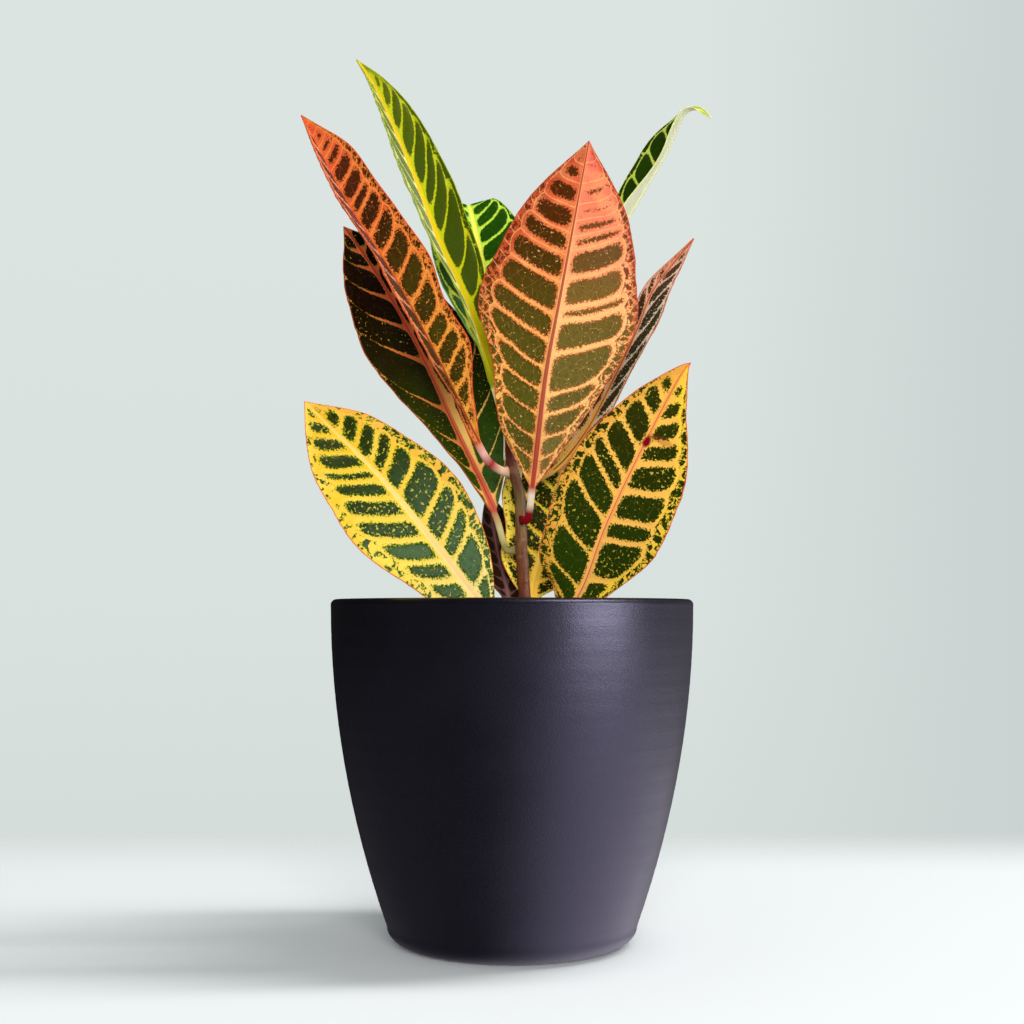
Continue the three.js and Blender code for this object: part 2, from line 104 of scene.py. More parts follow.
# Leaves. A list runs from base to tip. Where the halves differ, a value is a pair, left then right.
# joint: height on the stem, and direction of the stalk's start in degrees from +X.
# spine: the rest of the midrib's points. stalk: length of stalk before the blade, stalk_half: its half-width.
# halves: half-widths at even steps along the blade, seen from above with the tip up.
# face: the way the upper side looks at the stalk and at the tip.
# relief: share of the usual swelling between the veins.
# fold, cup: how far each half turns up at the midrib, and how much more by its margin, in degrees.
# wave: height and count of the margin's waves.
# veins: where side veins leave the midrib, from the blade's base.
# lean: how far a vein climbs for each millimetre it goes out. arch: how much further it climbs by the margin.
# loop: where it joins the next, as a share of the width.
# light: the pale ground. dark: the cells between the veins. vein: the thin line inside the pale ground.
# edge: the ground near the margin, edge_left: as edge, on the left. edge_reach: how far in it comes.
# edge_from: the shares of the length where it sets in. line: the margin itself.
# rib: midrib. rib_wide: its half-width at base and tip. core, core_wide: the fine line along its middle.
# stalk_colours: from stem to blade.
# band: half-width of the pale band on each vein. taper: how much of it is gone at the margin.
# rib_gap: pale ground beside the midrib.
# fringe: beyond the loops, size of the small cells, half-width of the pale gaps and share of cells kept,
# one number or (base, tip) for the left and for the right. fringe_tint: colour of those cells.
# halo: colour along the cells' edges, its reach and strength. bloom: tone deep inside them and its strength;
# on the left gold leaf this is a painted grey-green sheen.
# blush: a colour, then spots as (across, along) places, their reach each way and strength.
# fleck: pale flecks inside the cells, fleck_tint: their colour. speck: dark ones outside.
# ragged: how uneven the cell edges are. mesh: strength of the fine branching veins in the cells.
# grain: strength of the finest mottling. lines: strength of the thin vein lines.
# branches: 0 leaves out the lines by the margin. under: how far the underside turns to the colour pale.
# gloss: share of the usual gloss.
LEAVES = {
    "leaf_front_pink": leaf_entry(
        joint=(163, -60), stalk=17, spine=[(8, -10, 176), (13, -20, 218), (19, -27, 250), (29, -34, 304)],
        halves=([13, 24, 30.5, 27, 18.5], [15, 20.5, 31, 26.5, 17.5]),
        face=[(0.05, 1, 0.1), (-0.05, 1, -0.05)], fold=10, cup=6, wave=(1, 2),
        veins=([10, 18, 26.7, 34.5, 50.4, 63.1, 68, 79.4, 90.4, 95.8, 101.8, 108, 116],
               [10, 18, 27.4, 36.5, 45, 55.5, 65.4, 78, 88.5, 97, 106.8, 115.8, 123]),
        lean=([0.25, 0.35, 0.35, 0.4, 0.3], [0.45, 0.4, 0.35, 0.25, 0.2]), arch=5, loop=(0.79, 0.78),
        light=([(214, 164, 88), (248, 192, 112), (250, 186, 118), (240, 134, 94), (230, 98, 80)],
               [(200, 156, 70), (244, 178, 84), (244, 158, 82), (226, 104, 60), (210, 76, 56)]),
        dark=([(112, 100, 60), (122, 100, 48), (114, 88, 32), (100, 62, 20), (110, 40, 20)],
              [(84, 82, 36), (70, 70, 6), (68, 56, 4), (64, 32, 2), (84, 22, 6)]),
        vein=(255, 196, 120), edge=(184, 62, 40), edge_reach=(2.5, 8), edge_from=(0.3, 0.6),
        line=(176, 40, 38),
        rib=[(232, 140, 92), (252, 190, 120), (238, 140, 90)], rib_wide=(1.3, 0.3), core=(150, 30, 34),
        core_wide=(0.8, 0.12),
        stalk_colours=[(120, 12, 20), (126, 14, 22), (130, 16, 24), (224, 206, 176), (228, 210, 180),
                        (180, 40, 40)],
        band=([0.2, 0.8, 1.5, 1.6, 5.5], [0.2, 0.35, 1.1, 1.3, 1.8]), taper=0.1,
        rib_gap=([0.6, 0.9, 1.4, 1.6, 2.4], [0.4, 0.5, 0.6, 0.9, 0.9]),
        fringe=(4.2, 0.35, 0.9), fringe_tint=(104, 38, 18), halo=((176, 62, 26), 0.7, 0.65),
        bloom=((90, 94, 30), 0.5), fleck=0.05, speck=0.2, ragged=0.8, mesh=0.6, grain=1.2, lines=0.6,
        under=0,
    ),
    "leaf_left_red": leaf_entry(
        joint=(182, -130), stalk=20, stalk_half=1.75,
        spine=[(-8, -8, 185), (-13, -12, 193), (-27, -19, 221), (-44, -22, 253), (-64, -23, 285),
               (-81, -22, 318)],
        halves=([5, 12, 11, 13, 14, 13, 10], [5, 13, 11, 15, 15, 13, 10.5]),
        face=[(1, -1, 0.1), (1, -1, 0.3)], fold=(31, 42), wave=(1, 2.5),
        veins=([16, 30, 43, 56, 68, 80, 91, 101, 110, 118, 126],
               [13, 21.5, 29.5, 38, 47, 58.5, 69, 80, 88.7, 97.7, 103, 111, 118.5, 124, 129, 134]),
        lean=[0.5, 0.6, 0.6], arch=4, loop=(0.78, 0.76),
        # The left half is seen edge-on: its pink pale ground and pinkish-brown cells are partly the leaf's
        # colour and partly a painted pink sheen.
        light=([(214, 150, 80), (216, 140, 116), (220, 150, 130), (214, 110, 84)],
               [(204, 156, 48), (214, 134, 46), (208, 92, 42), (202, 76, 48)]),
        dark=([(44, 28, 10), (70, 34, 22), (110, 54, 48), (110, 50, 36)],
              [(44, 48, 0), (42, 38, 0), (44, 22, 2), (84, 36, 18)]),
        vein=(240, 160, 76), edge=(200, 96, 36), edge_reach=2.5, line=(190, 66, 34),
        rib=[(140, 66, 30), (146, 58, 28), (190, 76, 44), (222, 90, 54)], rib_wide=(0.6, 0.25),
        core=(160, 40, 24), core_wide=(0.15, 0.05),
        stalk_colours=[(176, 134, 104), (216, 178, 150), (150, 26, 42), (214, 166, 150), (206, 110, 80)],
        band=([0.5, 0.6, 0.7, 0.7, 1.6], [0.6, 0.7, 0.85, 0.8, 1.5]), taper=0.1,
        fringe=(3.6, 0.35, 0.85), fringe_tint=(64, 30, 4), halo=((190, 84, 20), 0.5, 0.4),
        bloom=((62, 62, 8), 0.5), fleck=0.05, speck=0.15, ragged=0.8, mesh=0.6, lines=0.6, under=0.3,
    ),
    "leaf_left_dark": leaf_entry(
        joint=(151.5, -160), stalk=23,
        spine=[(-3, 3, 155), (-6, 7, 165), (-22, 15, 199), (-39, 20, 236), (-56, 20, 266), (-69, 19, 285)],
        halves=([6.5, 15.4, 24.1, 25.1, 17.4], [15, 22.6, 22.6, 19.1, 14.5]),
        face=[(0.45, -1, 0.2), (0.3, -1, 0.3)], fold=(15, 12), wave=(1, 2),
        veins=([6, 18, 30, 46, 68, 84, 98, 112, 121], [4, 17, 32, 48, 66, 83, 98, 111, 121]),
        lean=[0.6, 0.7, 0.8], arch=5, loop=0.96,
        light=([(236, 170, 84), (226, 118, 56), (214, 88, 50), (200, 90, 50)],
               [(226, 150, 90), (250, 206, 110), (206, 110, 56), (196, 86, 46), (190, 84, 46)]),
        dark=([(56, 84, 8), (42, 62, 4), (18, 22, 0), (8, 2, 0), (18, 8, 0)],
              [(56, 84, 40), (40, 72, 14), (26, 26, 2), (8, 2, 0), (18, 8, 0)]),
        vein=(240, 140, 76), edge=(120, 110, 20), edge_reach=0.8, line=(160, 70, 36),
        rib=[(190, 86, 64), (222, 112, 70), (214, 84, 64), (176, 60, 48)], rib_wide=(1.5, 0.4),
        core=(150, 40, 40), core_wide=(0.2, 0.1),
        stalk_colours=[(120, 104, 60), (160, 148, 92), (186, 172, 116), (170, 100, 70)],
        band=([0.7, 0.9, 1.1, 1, 0.8], [0.5, 0.8, 0.9, 0.7, 0.5]), taper=(1.2, 0.9),
        rib_gap=(0.1, [0.1, 0.3, 2.8, 2.6, 0.3, 0.1, 0.1, 0.1, 0.1]),
        fleck=0.02, fleck_tint=(190, 200, 60), mesh=0.12, grain=0.3, lines=0, under=0.3, gloss=0.2,
    ),
    "leaf_tall_green": leaf_entry(
        joint=(188, 100), stalk=33,
        spine=[(-1.6, 3.6, 198.5), (-3.6, 3.2, 206), (-7.4, 2.8, 219), (-18, 4, 250), (-29, 6, 274),
               (-40, 8, 303), (-56, 9, 340), (-63, 8, 351)],
        halves=([4.5, 6, 10, 13.5, 8.5], [4.5, 12.5, 14, 13.5, 10]),
        face=[(1, -1, 0.1), (1, -1, 0.2)], fold=(24, 30),
        veins=([14, 26, 38, 50, 62, 73, 84, 95, 106, 116, 125],
               [12, 22, 33.5, 45.7, 61.5, 72.5, 81.5, 94, 106.5, 117, 126, 134]),
        lean=([1, 1.2, 1.4], [0.6, 0.6, 0.8, 1.5, 1.9, 1.9, 1.9]), arch=(5, 8), loop=0.8,
        # The left half is seen edge-on: its whitish grey-green ground and greyish cells are a painted sheen
        # over the leaf's green.
        light=([(220, 214, 110), (222, 220, 140), (222, 224, 150), (190, 190, 60)],
               [(190, 178, 8), (176, 176, 8), (172, 180, 14), (172, 174, 24)]),
        dark=([(110, 130, 50), (130, 142, 94), (126, 140, 80), (112, 128, 30)],
              [(52, 70, 0), (56, 72, 0), (64, 80, 0), (96, 106, 4)]),
        vein=(180, 180, 16), edge=(84, 102, 10), edge_reach=2, line=(150, 166, 36),
        rib=[(164, 162, 6), (216, 186, 26), (214, 180, 40)], rib_wide=(2.2, 0.7), core=(236, 176, 60),
        stalk_colours=[(240, 230, 190), (255, 252, 236), (255, 250, 210), (236, 226, 120)],
        band=(0.5, [0.55, 0.5, 0.42, 0.42]), taper=(0.3, 0.6),
        ragged=0.25, mesh=0.12, grain=0.2, lines=0.6, branches=0, under=0.3,
    ),
    "leaf_back_green": leaf_entry(
        joint=(190, 85), stalk=25,
        spine=[(-2.4, 9, 208), (-9, 18, 242), (-14, 26, 279), (-18, 33, 297), (-20, 50, 299)],
        halves=([3, 10.5, 18, 21, 18], [8.5, 14.5, 18.5, 19.5, 12]),
        face=[(0, -1, 0.1), (0, -0.3, 1)], fold=12, cup=8,
        veins=([10, 19, 29, 39, 50, 62, 70, 76, 81, 86, 94], [9, 18, 28, 38, 49, 60, 68.5, 76, 82, 88, 95]),
        lean=([0.5, 0.6, 0.7], [0.4, 0.45, 0.7]), arch=4, loop=0.84,
        light=[(236, 220, 90), (226, 220, 70), (176, 214, 60), (150, 200, 60)],
        # The pale mint first colour of the left half's cells is a painted bluish sheen.
        dark=([(150, 180, 150), (70, 120, 60), (24, 66, 0), (30, 80, 0)],
              [(22, 58, 0), (20, 62, 0), (22, 66, 0), (30, 80, 0)]),
        vein=(190, 216, 66), edge=(30, 90, 20), line=(120, 170, 50),
        rib=[(250, 230, 120), (250, 228, 90), (210, 220, 80)], rib_wide=(2.2, 0.4), core=(240, 200, 80),
        stalk_colours=[(214, 204, 160), (240, 226, 170), (240, 220, 140)],
        band=[1.2, 0.7, 0.5, 0.5], taper=0.4,
        mesh=0.2, grain=0.3, branches=0,
    ),
    "leaf_small_maroon": leaf_entry(
        joint=(126, 170), stalk=12, spine=[(-2, 13, 136), (-6, 21, 152), (-10, 30, 177)],
        halves=([5, 7, 7, 5, 3], [9, 12, 12, 9, 5]),
        face=[(0.3, -1, 0.2), (0.3, -1, 0.3)], fold=5,
        veins=([5, 11, 17, 23, 29, 35], [4, 10, 16, 22, 28, 34]),
        lean=[0.6, 0.7], arch=2, loop=0.85,
        light=[(110, 76, 76), (70, 44, 40), (50, 30, 26)],
        dark=[(48, 28, 14), (40, 22, 10), (32, 20, 10)],
        vein=(120, 84, 84), edge=(50, 26, 16), line=(120, 66, 50),
        rib=[(140, 96, 92), (90, 56, 50)], rib_wide=(0.4, 0.15), core=(120, 60, 70), core_wide=(0.1, 0.05),
        stalk_colours=[(120, 90, 60), (140, 100, 80)],
        band=0.12,
        ragged=0.2, mesh=0.1, grain=0.4, lines=0.2, branches=0, under=0.25,
    ),
    "leaf_left_gold": leaf_entry(
        joint=(120, -130), stalk=15,
        spine=[(-6, -12, 124), (-14, -18, 133), (-31, -29, 155), (-49, -37, 177), (-68, -42, 196),
               (-76, -43, 204)],
        halves=([13.5, 20, 26, 25.5, 18.5], [12.5, 19.5, 21.5, 18, 12.5]),
        face=[(0.1, -1, 0.5), (0.1, -1, 0.5)], fold=8,
        veins=([3, 12, 22, 31.5, 42, 52.2, 62, 70, 76.3, 84.5, 92.5, 101],
               [5, 15, 28.6, 36.5, 47.4, 62, 71, 77.8, 85.7, 94, 102]),
        lean=([0.75, 0.7, 0.7, 0.75, 1], [0.2, 0.3, 0.5, 0.4, 0.5, 0.6]), arch=2, loop=(0.74, 0.76),
        light=([(250, 228, 150), (244, 208, 84), (232, 178, 40), (226, 160, 24)],
               [(250, 230, 156), (244, 208, 90), (232, 180, 44), (226, 160, 26)]),
        dark=([(36, 72, 16), (26, 58, 0), (18, 38, 0), (28, 42, 0)],
              [(40, 76, 20), (28, 60, 2), (18, 38, 0), (28, 42, 0)]),
        vein=(246, 206, 100), edge=(230, 164, 58), edge_left=(232, 186, 56), edge_reach=(2, 5),
        edge_from=(0.2, 0.5), line=(206, 96, 50),
        rib=[(248, 214, 150), (246, 210, 124), (236, 178, 66)], rib_wide=(1.9, 0.4), core=(248, 196, 120),
        core_wide=(0.15, 0.05),
        stalk_colours=[(190, 170, 90), (236, 214, 130)],
        band=([1, 1.2, 1.3, 1.1, 0.8], [0.9, 1.1, 1.2, 1, 0.8]), taper=0, rib_gap=([1.2, 1, 0.5], 0.5),
        # Its grey-green tone deep inside the cells is a painted sheen.
        fringe=(4.6, 0.3, ((0.45, 0.35), (0.95, 0.55))), halo=((116, 146, 10), 0.7, 0.6),
        bloom=((84, 112, 78), 0.65), fleck=0.15, fleck_tint=(176, 204, 60), ragged=0.9, mesh=0.25,
        grain=0.3, lines=0.1, branches=0,
    ),
    "leaf_right_narrow": leaf_entry(
        joint=(192, 20), stalk=25, relief=0.15,
        spine=[(8, 12, 212), (22, 26, 241), (42, 34, 281), (58, 38, 309), (66, 39, 323), (70.5, 38, 333),
               (73.5, 37, 338.5), (77, 36, 340), (81, 35, 338.8), (84, 34.5, 335.5)],
        halves=([3.5, 6.3, 8, 9.3, 10.3, 11.3, 12.3, 13.2, 13.8, 13, 3], [6.5, 9, 10.5, 11, 9, 5, 6]),
        face=[(-0.85, -0.2, 0.5), (-0.85, -0.2, 0.5)], fold=30,
        veins=[12, 27, 42, 57, 71, 85, 97, 108, 121, 133, 144],
        lean=0.6, arch=3, loop=0.8,
        light=[(184, 190, 50), (150, 176, 36), (196, 200, 96)],
        dark=[(20, 46, 0), (24, 50, 0), (34, 60, 4)],
        vein=(200, 214, 80), edge=(50, 84, 20), line=(220, 224, 140),
        rib=[(226, 226, 150), (224, 226, 150), (214, 212, 120)], rib_wide=(1.1, 0.4), core=(222, 220, 130),
        core_wide=(0.1, 0.05),
        stalk_colours=[(180, 170, 110), (214, 210, 130)],
        band=0.7, taper=0.5,
        mesh=0.1, grain=0.2, branches=0, under=0.92, pale=(232, 232, 196),
    ),
    "leaf_right_dark": leaf_entry(
        joint=(173, 40), stalk=20,
        spine=[(9, 7, 179), (18, 10, 185), (30, 14, 200), (38, 17, 215), (51, 20, 242), (58, 22, 259),
               (67, 23, 271), (75, 23, 281)],
        halves=([7.5, 6.5, 5.5, 5.5, 3], [5, 7, 8, 10.5, 7.5]),
        face=[(0, -1, 0.2), (0, -1, 0.2)], fold=42,
        veins=([10, 24, 38, 52, 66, 80, 88, 97, 106], [10, 22, 35, 49, 62, 75, 87, 98, 107]),
        lean=([1.6, 1.8, 1.8], [1.8, 2, 2]), arch=3, loop=0.86,
        # The greyish-white middle of the right half's pale ground is a painted glare.
        light=([(255, 190, 60), (224, 170, 110), (222, 150, 110), (214, 120, 80)],
               [(236, 180, 80), (214, 196, 160), (220, 200, 176), (214, 130, 96)]),
        dark=([(48, 46, 6), (40, 34, 6), (42, 28, 8), (78, 38, 22)],
              [(46, 48, 14), (44, 42, 14), (52, 44, 18), (84, 48, 32)]),
        vein=(224, 204, 180), edge=(160, 92, 54), line=(200, 96, 56),
        rib=[(250, 196, 80), (214, 130, 70), (206, 110, 80)], rib_wide=(1.2, 0.3), core=(120, 40, 34),
        core_wide=(0.3, 0.15),
        stalk_colours=[(210, 160, 110), (236, 180, 90)],
        band=[0.5, 0.4, 0.4], taper=0.4, rib_gap=([3.5, 0.6, 0.35, 0.35], 0.35),
        fringe=(4, 0.2, 0.8), fleck=0.1, speck=0.1, ragged=0.7, under=0.3,
    ),
    "leaf_right_gold": leaf_entry(
        joint=(117, -45), stalk=17,
        spine=[(14, -11, 121), (25, -18, 133), (35, -27, 159), (49, -34, 189), (64, -39, 217),
               (66, -39, 219)],
        halves=([17, 20.5, 22.5, 19, 11.5], [9.5, 21, 23.5, 20, 10]),
        face=[(-0.1, -1, 0.4), (-0.1, -1, 0.4)], fold=8,
        veins=([6, 15, 29.5, 43.5, 54.5, 62, 73, 85, 94, 102],
               [9, 21.5, 37.5, 45.5, 57, 68.5, 76.5, 85, 94, 102]),
        lean=([0.45, 0.55, 0.6, 0.7, 0.8], [0.1, 0.2, 0.25, 0.35, 0.65, 0.7]), arch=3, loop=(0.76, 0.74),
        light=([(240, 190, 70), (236, 176, 72), (236, 174, 78), (238, 180, 70)],
               [(242, 186, 76), (242, 178, 84), (244, 180, 80), (240, 184, 70)]),
        dark=([(32, 60, 6), (26, 48, 0), (30, 38, 0), (46, 52, 4)],
              [(34, 62, 8), (30, 50, 0), (34, 46, 2), (48, 54, 6)]),
        vein=(242, 186, 84), edge=(236, 196, 50), edge_left=(206, 140, 50), edge_reach=6,
        line=(200, 66, 60),
        rib=[(240, 176, 100), (238, 158, 88), (232, 150, 70)], rib_wide=(1.35, 0.7), core=(176, 60, 40),
        core_wide=(0.2, 0.12),
        stalk_colours=[(200, 150, 80), (238, 176, 96)],
        band=([0.5, 0.75, 0.9, 1], [0.8, 1.1, 1.2, 1.2]), taper=(0.2, 0.1), rib_gap=(0.2, 0.5),
        fringe=(4.2, 0.3, 0.8), halo=((130, 120, 10), 0.4, 0.4), bloom=((34, 62, 8), 0.4),
        blush=((120, 8, 22), ((0.6, 77.8), (1.9, 2.6), 1), ((5.5, 80.5), (6, 1.6), 0.4)), fleck=0.09,
        fleck_tint=(196, 200, 60), ragged=0.85, mesh=0.2, grain=0.3, lines=0.15, branches=0,
    ),
    "leaf_low_back": leaf_entry(
        joint=(126, 50), stalk=8, spine=[(8, 6, 135), (14, 14, 156), (20, 24, 181), (26, 34, 205)],
        halves=([14, 16, 21, 21, 14.5], [16, 18, 18, 15, 8]),
        face=[(-0.1, -1, 0.3), (-0.1, -1, 0.3)], fold=8,
        veins=([8, 18, 27, 38, 49, 59, 68], [8, 17, 27, 37, 48, 58, 67]),
        lean=([0.4, 0.55, 0.6], [0.4, 0.5, 0.6]), arch=4, loop=(0.8, 0.85),
        light=[(244, 176, 50), (236, 190, 50), (226, 200, 60), (210, 190, 60)],
        dark=[(16, 32, 0), (18, 34, 0), (22, 40, 2)],
        vein=(240, 216, 70), edge=(236, 210, 80), edge_reach=4, line=(200, 120, 60),
        rib=[(246, 190, 70), (240, 210, 80), (230, 200, 80)], rib_wide=(2, 0.6), core=(240, 190, 70),
        stalk_colours=[(200, 140, 70), (240, 180, 70)],
        band=0.7, taper=0.2,
        fringe=(3.2, 0.7, 0.6), fleck=0.15, speck=0.1, ragged=1,
    ),
    "leaf_rear_left": leaf_entry(
        **REAR, joint=(180, 75), spine=[(2, 22, 199), (-6, 40, 215), (-20, 65, 235), (-32, 92, 253)],
        face=[(0.1, -0.8, 0.6), (0.1, -0.6, 0.8)],
        veins=([7, 15, 24, 34, 44, 54, 64, 74, 83, 91, 98],
               [6, 14, 23, 32.5, 42, 52.5, 63, 73, 82, 90, 97]),
        lean=[0.6, 0.7, 0.8], loop=0.84,
        light=[(226, 200, 70), (206, 200, 60), (196, 190, 60)],
        dark=[(34, 62, 14), (36, 66, 16), (50, 74, 20)],
        vein=(226, 226, 90), edge=(180, 170, 50), edge_reach=2, line=(190, 110, 60),
        rib=[(244, 220, 110), (236, 200, 90), (220, 190, 80)], core=(230, 180, 80),
        stalk_colours=[(180, 160, 110), (230, 200, 130)],
        band=0.8,
        fringe=(3.4, 0.5, 0.7), fleck=0.15, ragged=1.2,
    ),
    "leaf_rear_right": leaf_entry(
        **REAR, joint=(198, 75), spine=[(7, 30, 218), (18, 62, 250), (28, 95, 281)],
        face=[(-0.1, -0.8, 0.6), (-0.1, -0.6, 0.8)],
        veins=([7, 15, 25, 35, 45, 56, 66, 76, 86, 95, 102],
               [6, 14, 23.5, 34, 44, 54.5, 65, 75.5, 85, 94, 101]),
        lean=[0.55, 0.6, 0.7], loop=0.83,
        light=[(230, 150, 60), (232, 110, 50), (226, 84, 52)],
        dark=[(60, 58, 18), (62, 40, 16), (80, 34, 20)],
        vein=(250, 170, 90), edge=(222, 90, 50), edge_reach=3, line=(206, 56, 44),
        rib=[(240, 160, 90), (238, 120, 76), (226, 90, 66)], core=(190, 60, 46),
        core_wide=(0.15, 0.06),
        stalk_colours=[(190, 130, 100), (220, 120, 80)],
        band=1, taper=0.2,
        fringe=(3.2, 0.5, 0.7), fleck=0.1, ragged=1, mesh=0.4, under=0.3,
    ),
    "leaf_young_left": leaf_entry(
        **YOUNG, joint=(202.4, 90), spine=[(-1, 6, 208), (0.5, 5, 220), (2, 6, 238)],
        face=[(-0.2, -1, 0.1), (-0.2, -1, 0.1)], fold=35,
        light=[(214, 214, 90), (206, 210, 80), (200, 200, 80)],
        dark=[(90, 128, 30), (96, 134, 34), (120, 140, 44)],
        vein=(220, 226, 110), edge=(170, 180, 70), line=(200, 150, 80),
        rib=[(236, 226, 130), (226, 220, 110)], core=(226, 210, 110),
        stalk_colours=[(190, 180, 120), (220, 214, 140)],
    ),
    "leaf_young_right": leaf_entry(
        **YOUNG, joint=(201.5, -45), spine=[(3, -2.5, 206), (7, -4, 219), (13, -7, 236)],
        face=[(-0.4, 1, 0.2), (-0.4, 1, 0.2)], fold=30,
        light=[(224, 220, 100), (216, 214, 90), (214, 200, 84)],
        dark=[(110, 140, 40), (116, 144, 40), (140, 146, 50)],
        vein=(226, 230, 120), edge=(190, 180, 80), line=(210, 150, 90),
        rib=[(240, 230, 140), (230, 222, 120)], core=(230, 214, 120),
        stalk_colours=[(200, 190, 130), (226, 220, 150)],
    ),
}

BROAD_LEAVES = ["leaf_front_pink", "leaf_left_gold", "leaf_right_gold", "leaf_left_dark", "leaf_low_back",
                "leaf_back_green", "leaf_rear_left", "leaf_rear_right"]
NARROW_LEAVES = ["leaf_left_red", "leaf_tall_green", "leaf_right_narrow", "leaf_right_dark",
                 "leaf_small_maroon"]
YOUNG_LEAVES = ["leaf_young_left", "leaf_young_right"]


def side_of(value, side):
    """One half's share of a leaf's value: side 0 is the left half and 1 the right one."""
    return value[side] if isinstance(value, tuple) else value


def from_base(share, values):
    """A value that runs evenly through a list from base to tip, or the one number that it is."""
    values = np.atleast_1d(values)
    return np.interp(share, np.linspace(0, 1, len(values)), values)


# Colours and small sums

def paint(red, green, blue):
    """A colour mixed by eye on the 0 to 255 scale, as the linear values that Blender's sockets take."""
    shares = [channel / 255 for channel in (red, green, blue)]
    return tuple(c / 12.92 if c <= 0.04045 else ((c + 0.055) / 1.055) ** 2.4 for c in shares)


def paints(colours):
    """Several colours, mixed as by paint."""
    return [paint(*colour) for colour in colours]


def shade(colour, times=1):
    """A setting's colour, darker or lighter."""
    return tuple(channel * times for channel in colour)


def blend(pair, share):
    """The first of two values at share 0, the second at share 1."""
    return pair[0] * (1 - share) + pair[1] * share


def unit(rows):
    """Each row divided by its length."""
    return rows / np.linalg.norm(rows, axis=-1, keepdims=True)


def soft_lowest(first, second, round_off):
    """The lower of two distances, with the corner where they cross rounded off over about that many mm."""
    lowest = np.minimum(first, second)
    return lowest - round_off * np.log(np.exp(-(first - lowest) / round_off)
                                       + np.exp(-(second - lowest) / round_off))


def smooth_step(values):
    """0 below 0, 1 above 1, and 3v^2 - 2v^3 between."""
    v = np.clip(values, 0, 1)
    return v * v * (3 - 2 * v)


def scatter(counts, seed):
    """A steady pseudo-random share from 0 to 1 for each whole number: the fraction of a large sine."""
    return np.mod(np.sin(counts * 12.9898 + seed * 78.233) * 43758.5453, 1)


def full_turn(steps):
    """Even angles once round, in radians."""
    return np.linspace(0, 2 * np.pi, steps, endpoint=False)


def even_spline(values, at):
    """Catmull-Rom spline through evenly spaced numbers, its ends carried on straight, read at 0 to 1."""
    p = np.array([2 * values[0] - values[1], *values, 2 * values[-1] - values[-2]], float)
    place = np.clip(at, 0, 1) * (len(values) - 1)
    i = np.minimum(place.astype(int), len(values) - 2)
    w = place - i
    t0 = (p[i + 2] - p[i]) / 2
    t1 = (p[i + 3] - p[i + 1]) / 2
    return ((2 * p[i + 1] - 2 * p[i + 2] + t0 + t1) * w ** 3
            + (-3 * p[i + 1] + 3 * p[i + 2] - 2 * t0 - t1) * w ** 2 + t0 * w + p[i + 1])


def smooth_path(points, steps=1200):
    """Centripetal Catmull-Rom curve through points, its ends carried on straight.

    Gives the curve's dots and the length travelled up to each of them.
    """
    p = np.array(points, float)
    ends = np.vstack([2 * p[0] - p[1], p, 2 * p[-1] - p[-2]])
    place = np.linspace(0, len(p) - 1, steps + 1)
    i = np.minimum(place.astype(int), len(p) - 2)
    w = (place - i)[:, None]
    gaps = np.linalg.norm(np.diff(ends, axis=0), axis=1)[:, None] ** 0.5
    p0, p1, p2, p3 = ends[i], ends[i + 1], ends[i + 2], ends[i + 3]
    a, b, c = gaps[i], gaps[i + 1], gaps[i + 2]
    t1 = ((p1 - p0) / a - (p2 - p0) / (a + b) + (p2 - p1) / b) * b
    t2 = ((p2 - p1) / b - (p3 - p1) / (b + c) + (p3 - p2) / c) * b
    dots = ((2 * p1 - 2 * p2 + t1 + t2) * w ** 3 + (-3 * p1 + 3 * p2 - 2 * t1 - t2) * w ** 2
            + t1 * w + p1)
    lengths = np.concatenate([[0], np.cumsum(np.linalg.norm(np.diff(dots, axis=0), axis=1))])
    return dots, lengths


def read_path(path, distance):
    """Points at these distances along a smooth path, its ends carried on straight."""
    dots, lengths = path
    points = np.stack([np.interp(distance, lengths, dots[:, k]) for k in range(3)], -1)
    before = np.minimum(distance, 0)[:, None]
    after = np.maximum(distance - lengths[-1], 0)[:, None]
    return points + before * unit(dots[1] - dots[0]) + after * unit(dots[-1] - dots[-2])


def lumps(x, y, seed, coarse, fine, waves):
    """Uneven ground: a sum of sine waves in seeded directions, their lengths spread from coarse to fine mm
    and their heights in step with their lengths, scaled to about -1 to 1."""
    draw = np.random.default_rng(seed)
    lengths = np.geomspace(coarse, fine, waves)
    turns = draw.uniform(0, 2 * np.pi, waves)
    starts = draw.uniform(0, 2 * np.pi, waves)
    weights = (lengths / coarse) ** 0.7
    total = np.zeros_like(x)
    for length, turn, start, weight in zip(lengths, turns, starts, weights):
        total += weight * np.sin((x * np.cos(turn) + y * np.sin(turn)) * 2 * np.pi / length + start)
    return total / np.sqrt((weights ** 2).sum() / 2) / 2


# Objects

def put(name, data):
    """A new object in the scene."""
    thing = bpy.data.objects.new(name, data)
    bpy.context.scene.collection.objects.link(thing)
    return thing


def mesh_piece(name, points, corners, sizes, material, fields=()):
    """A smooth-shaded object from points in mm, face corners as one list, and each face's corner count."""
    mesh = bpy.data.meshes.new(name)
    mesh.vertices.add(len(points))
    mesh.vertices.foreach_set("co", (points * MM).astype(np.float32).ravel())
    mesh.loops.add(len(corners))
    mesh.loops.foreach_set("vertex_index", corners.astype(np.int32))
    mesh.polygons.add(len(sizes))
    starts = np.concatenate([[0], np.cumsum(sizes)[:-1]])
    mesh.polygons.foreach_set("loop_start", starts.astype(np.int32))
    mesh.polygons.foreach_set("use_smooth", np.ones(len(sizes), bool))
    for field_name, values in fields:
        field = mesh.attributes.new(field_name, "FLOAT_VECTOR", "POINT")
        field.data.foreach_set("vector", values.astype(np.float32).ravel())
    mesh.update(calc_edges=True)
    mesh.validate()
    mesh.materials.append(material)
    return put(name, mesh)


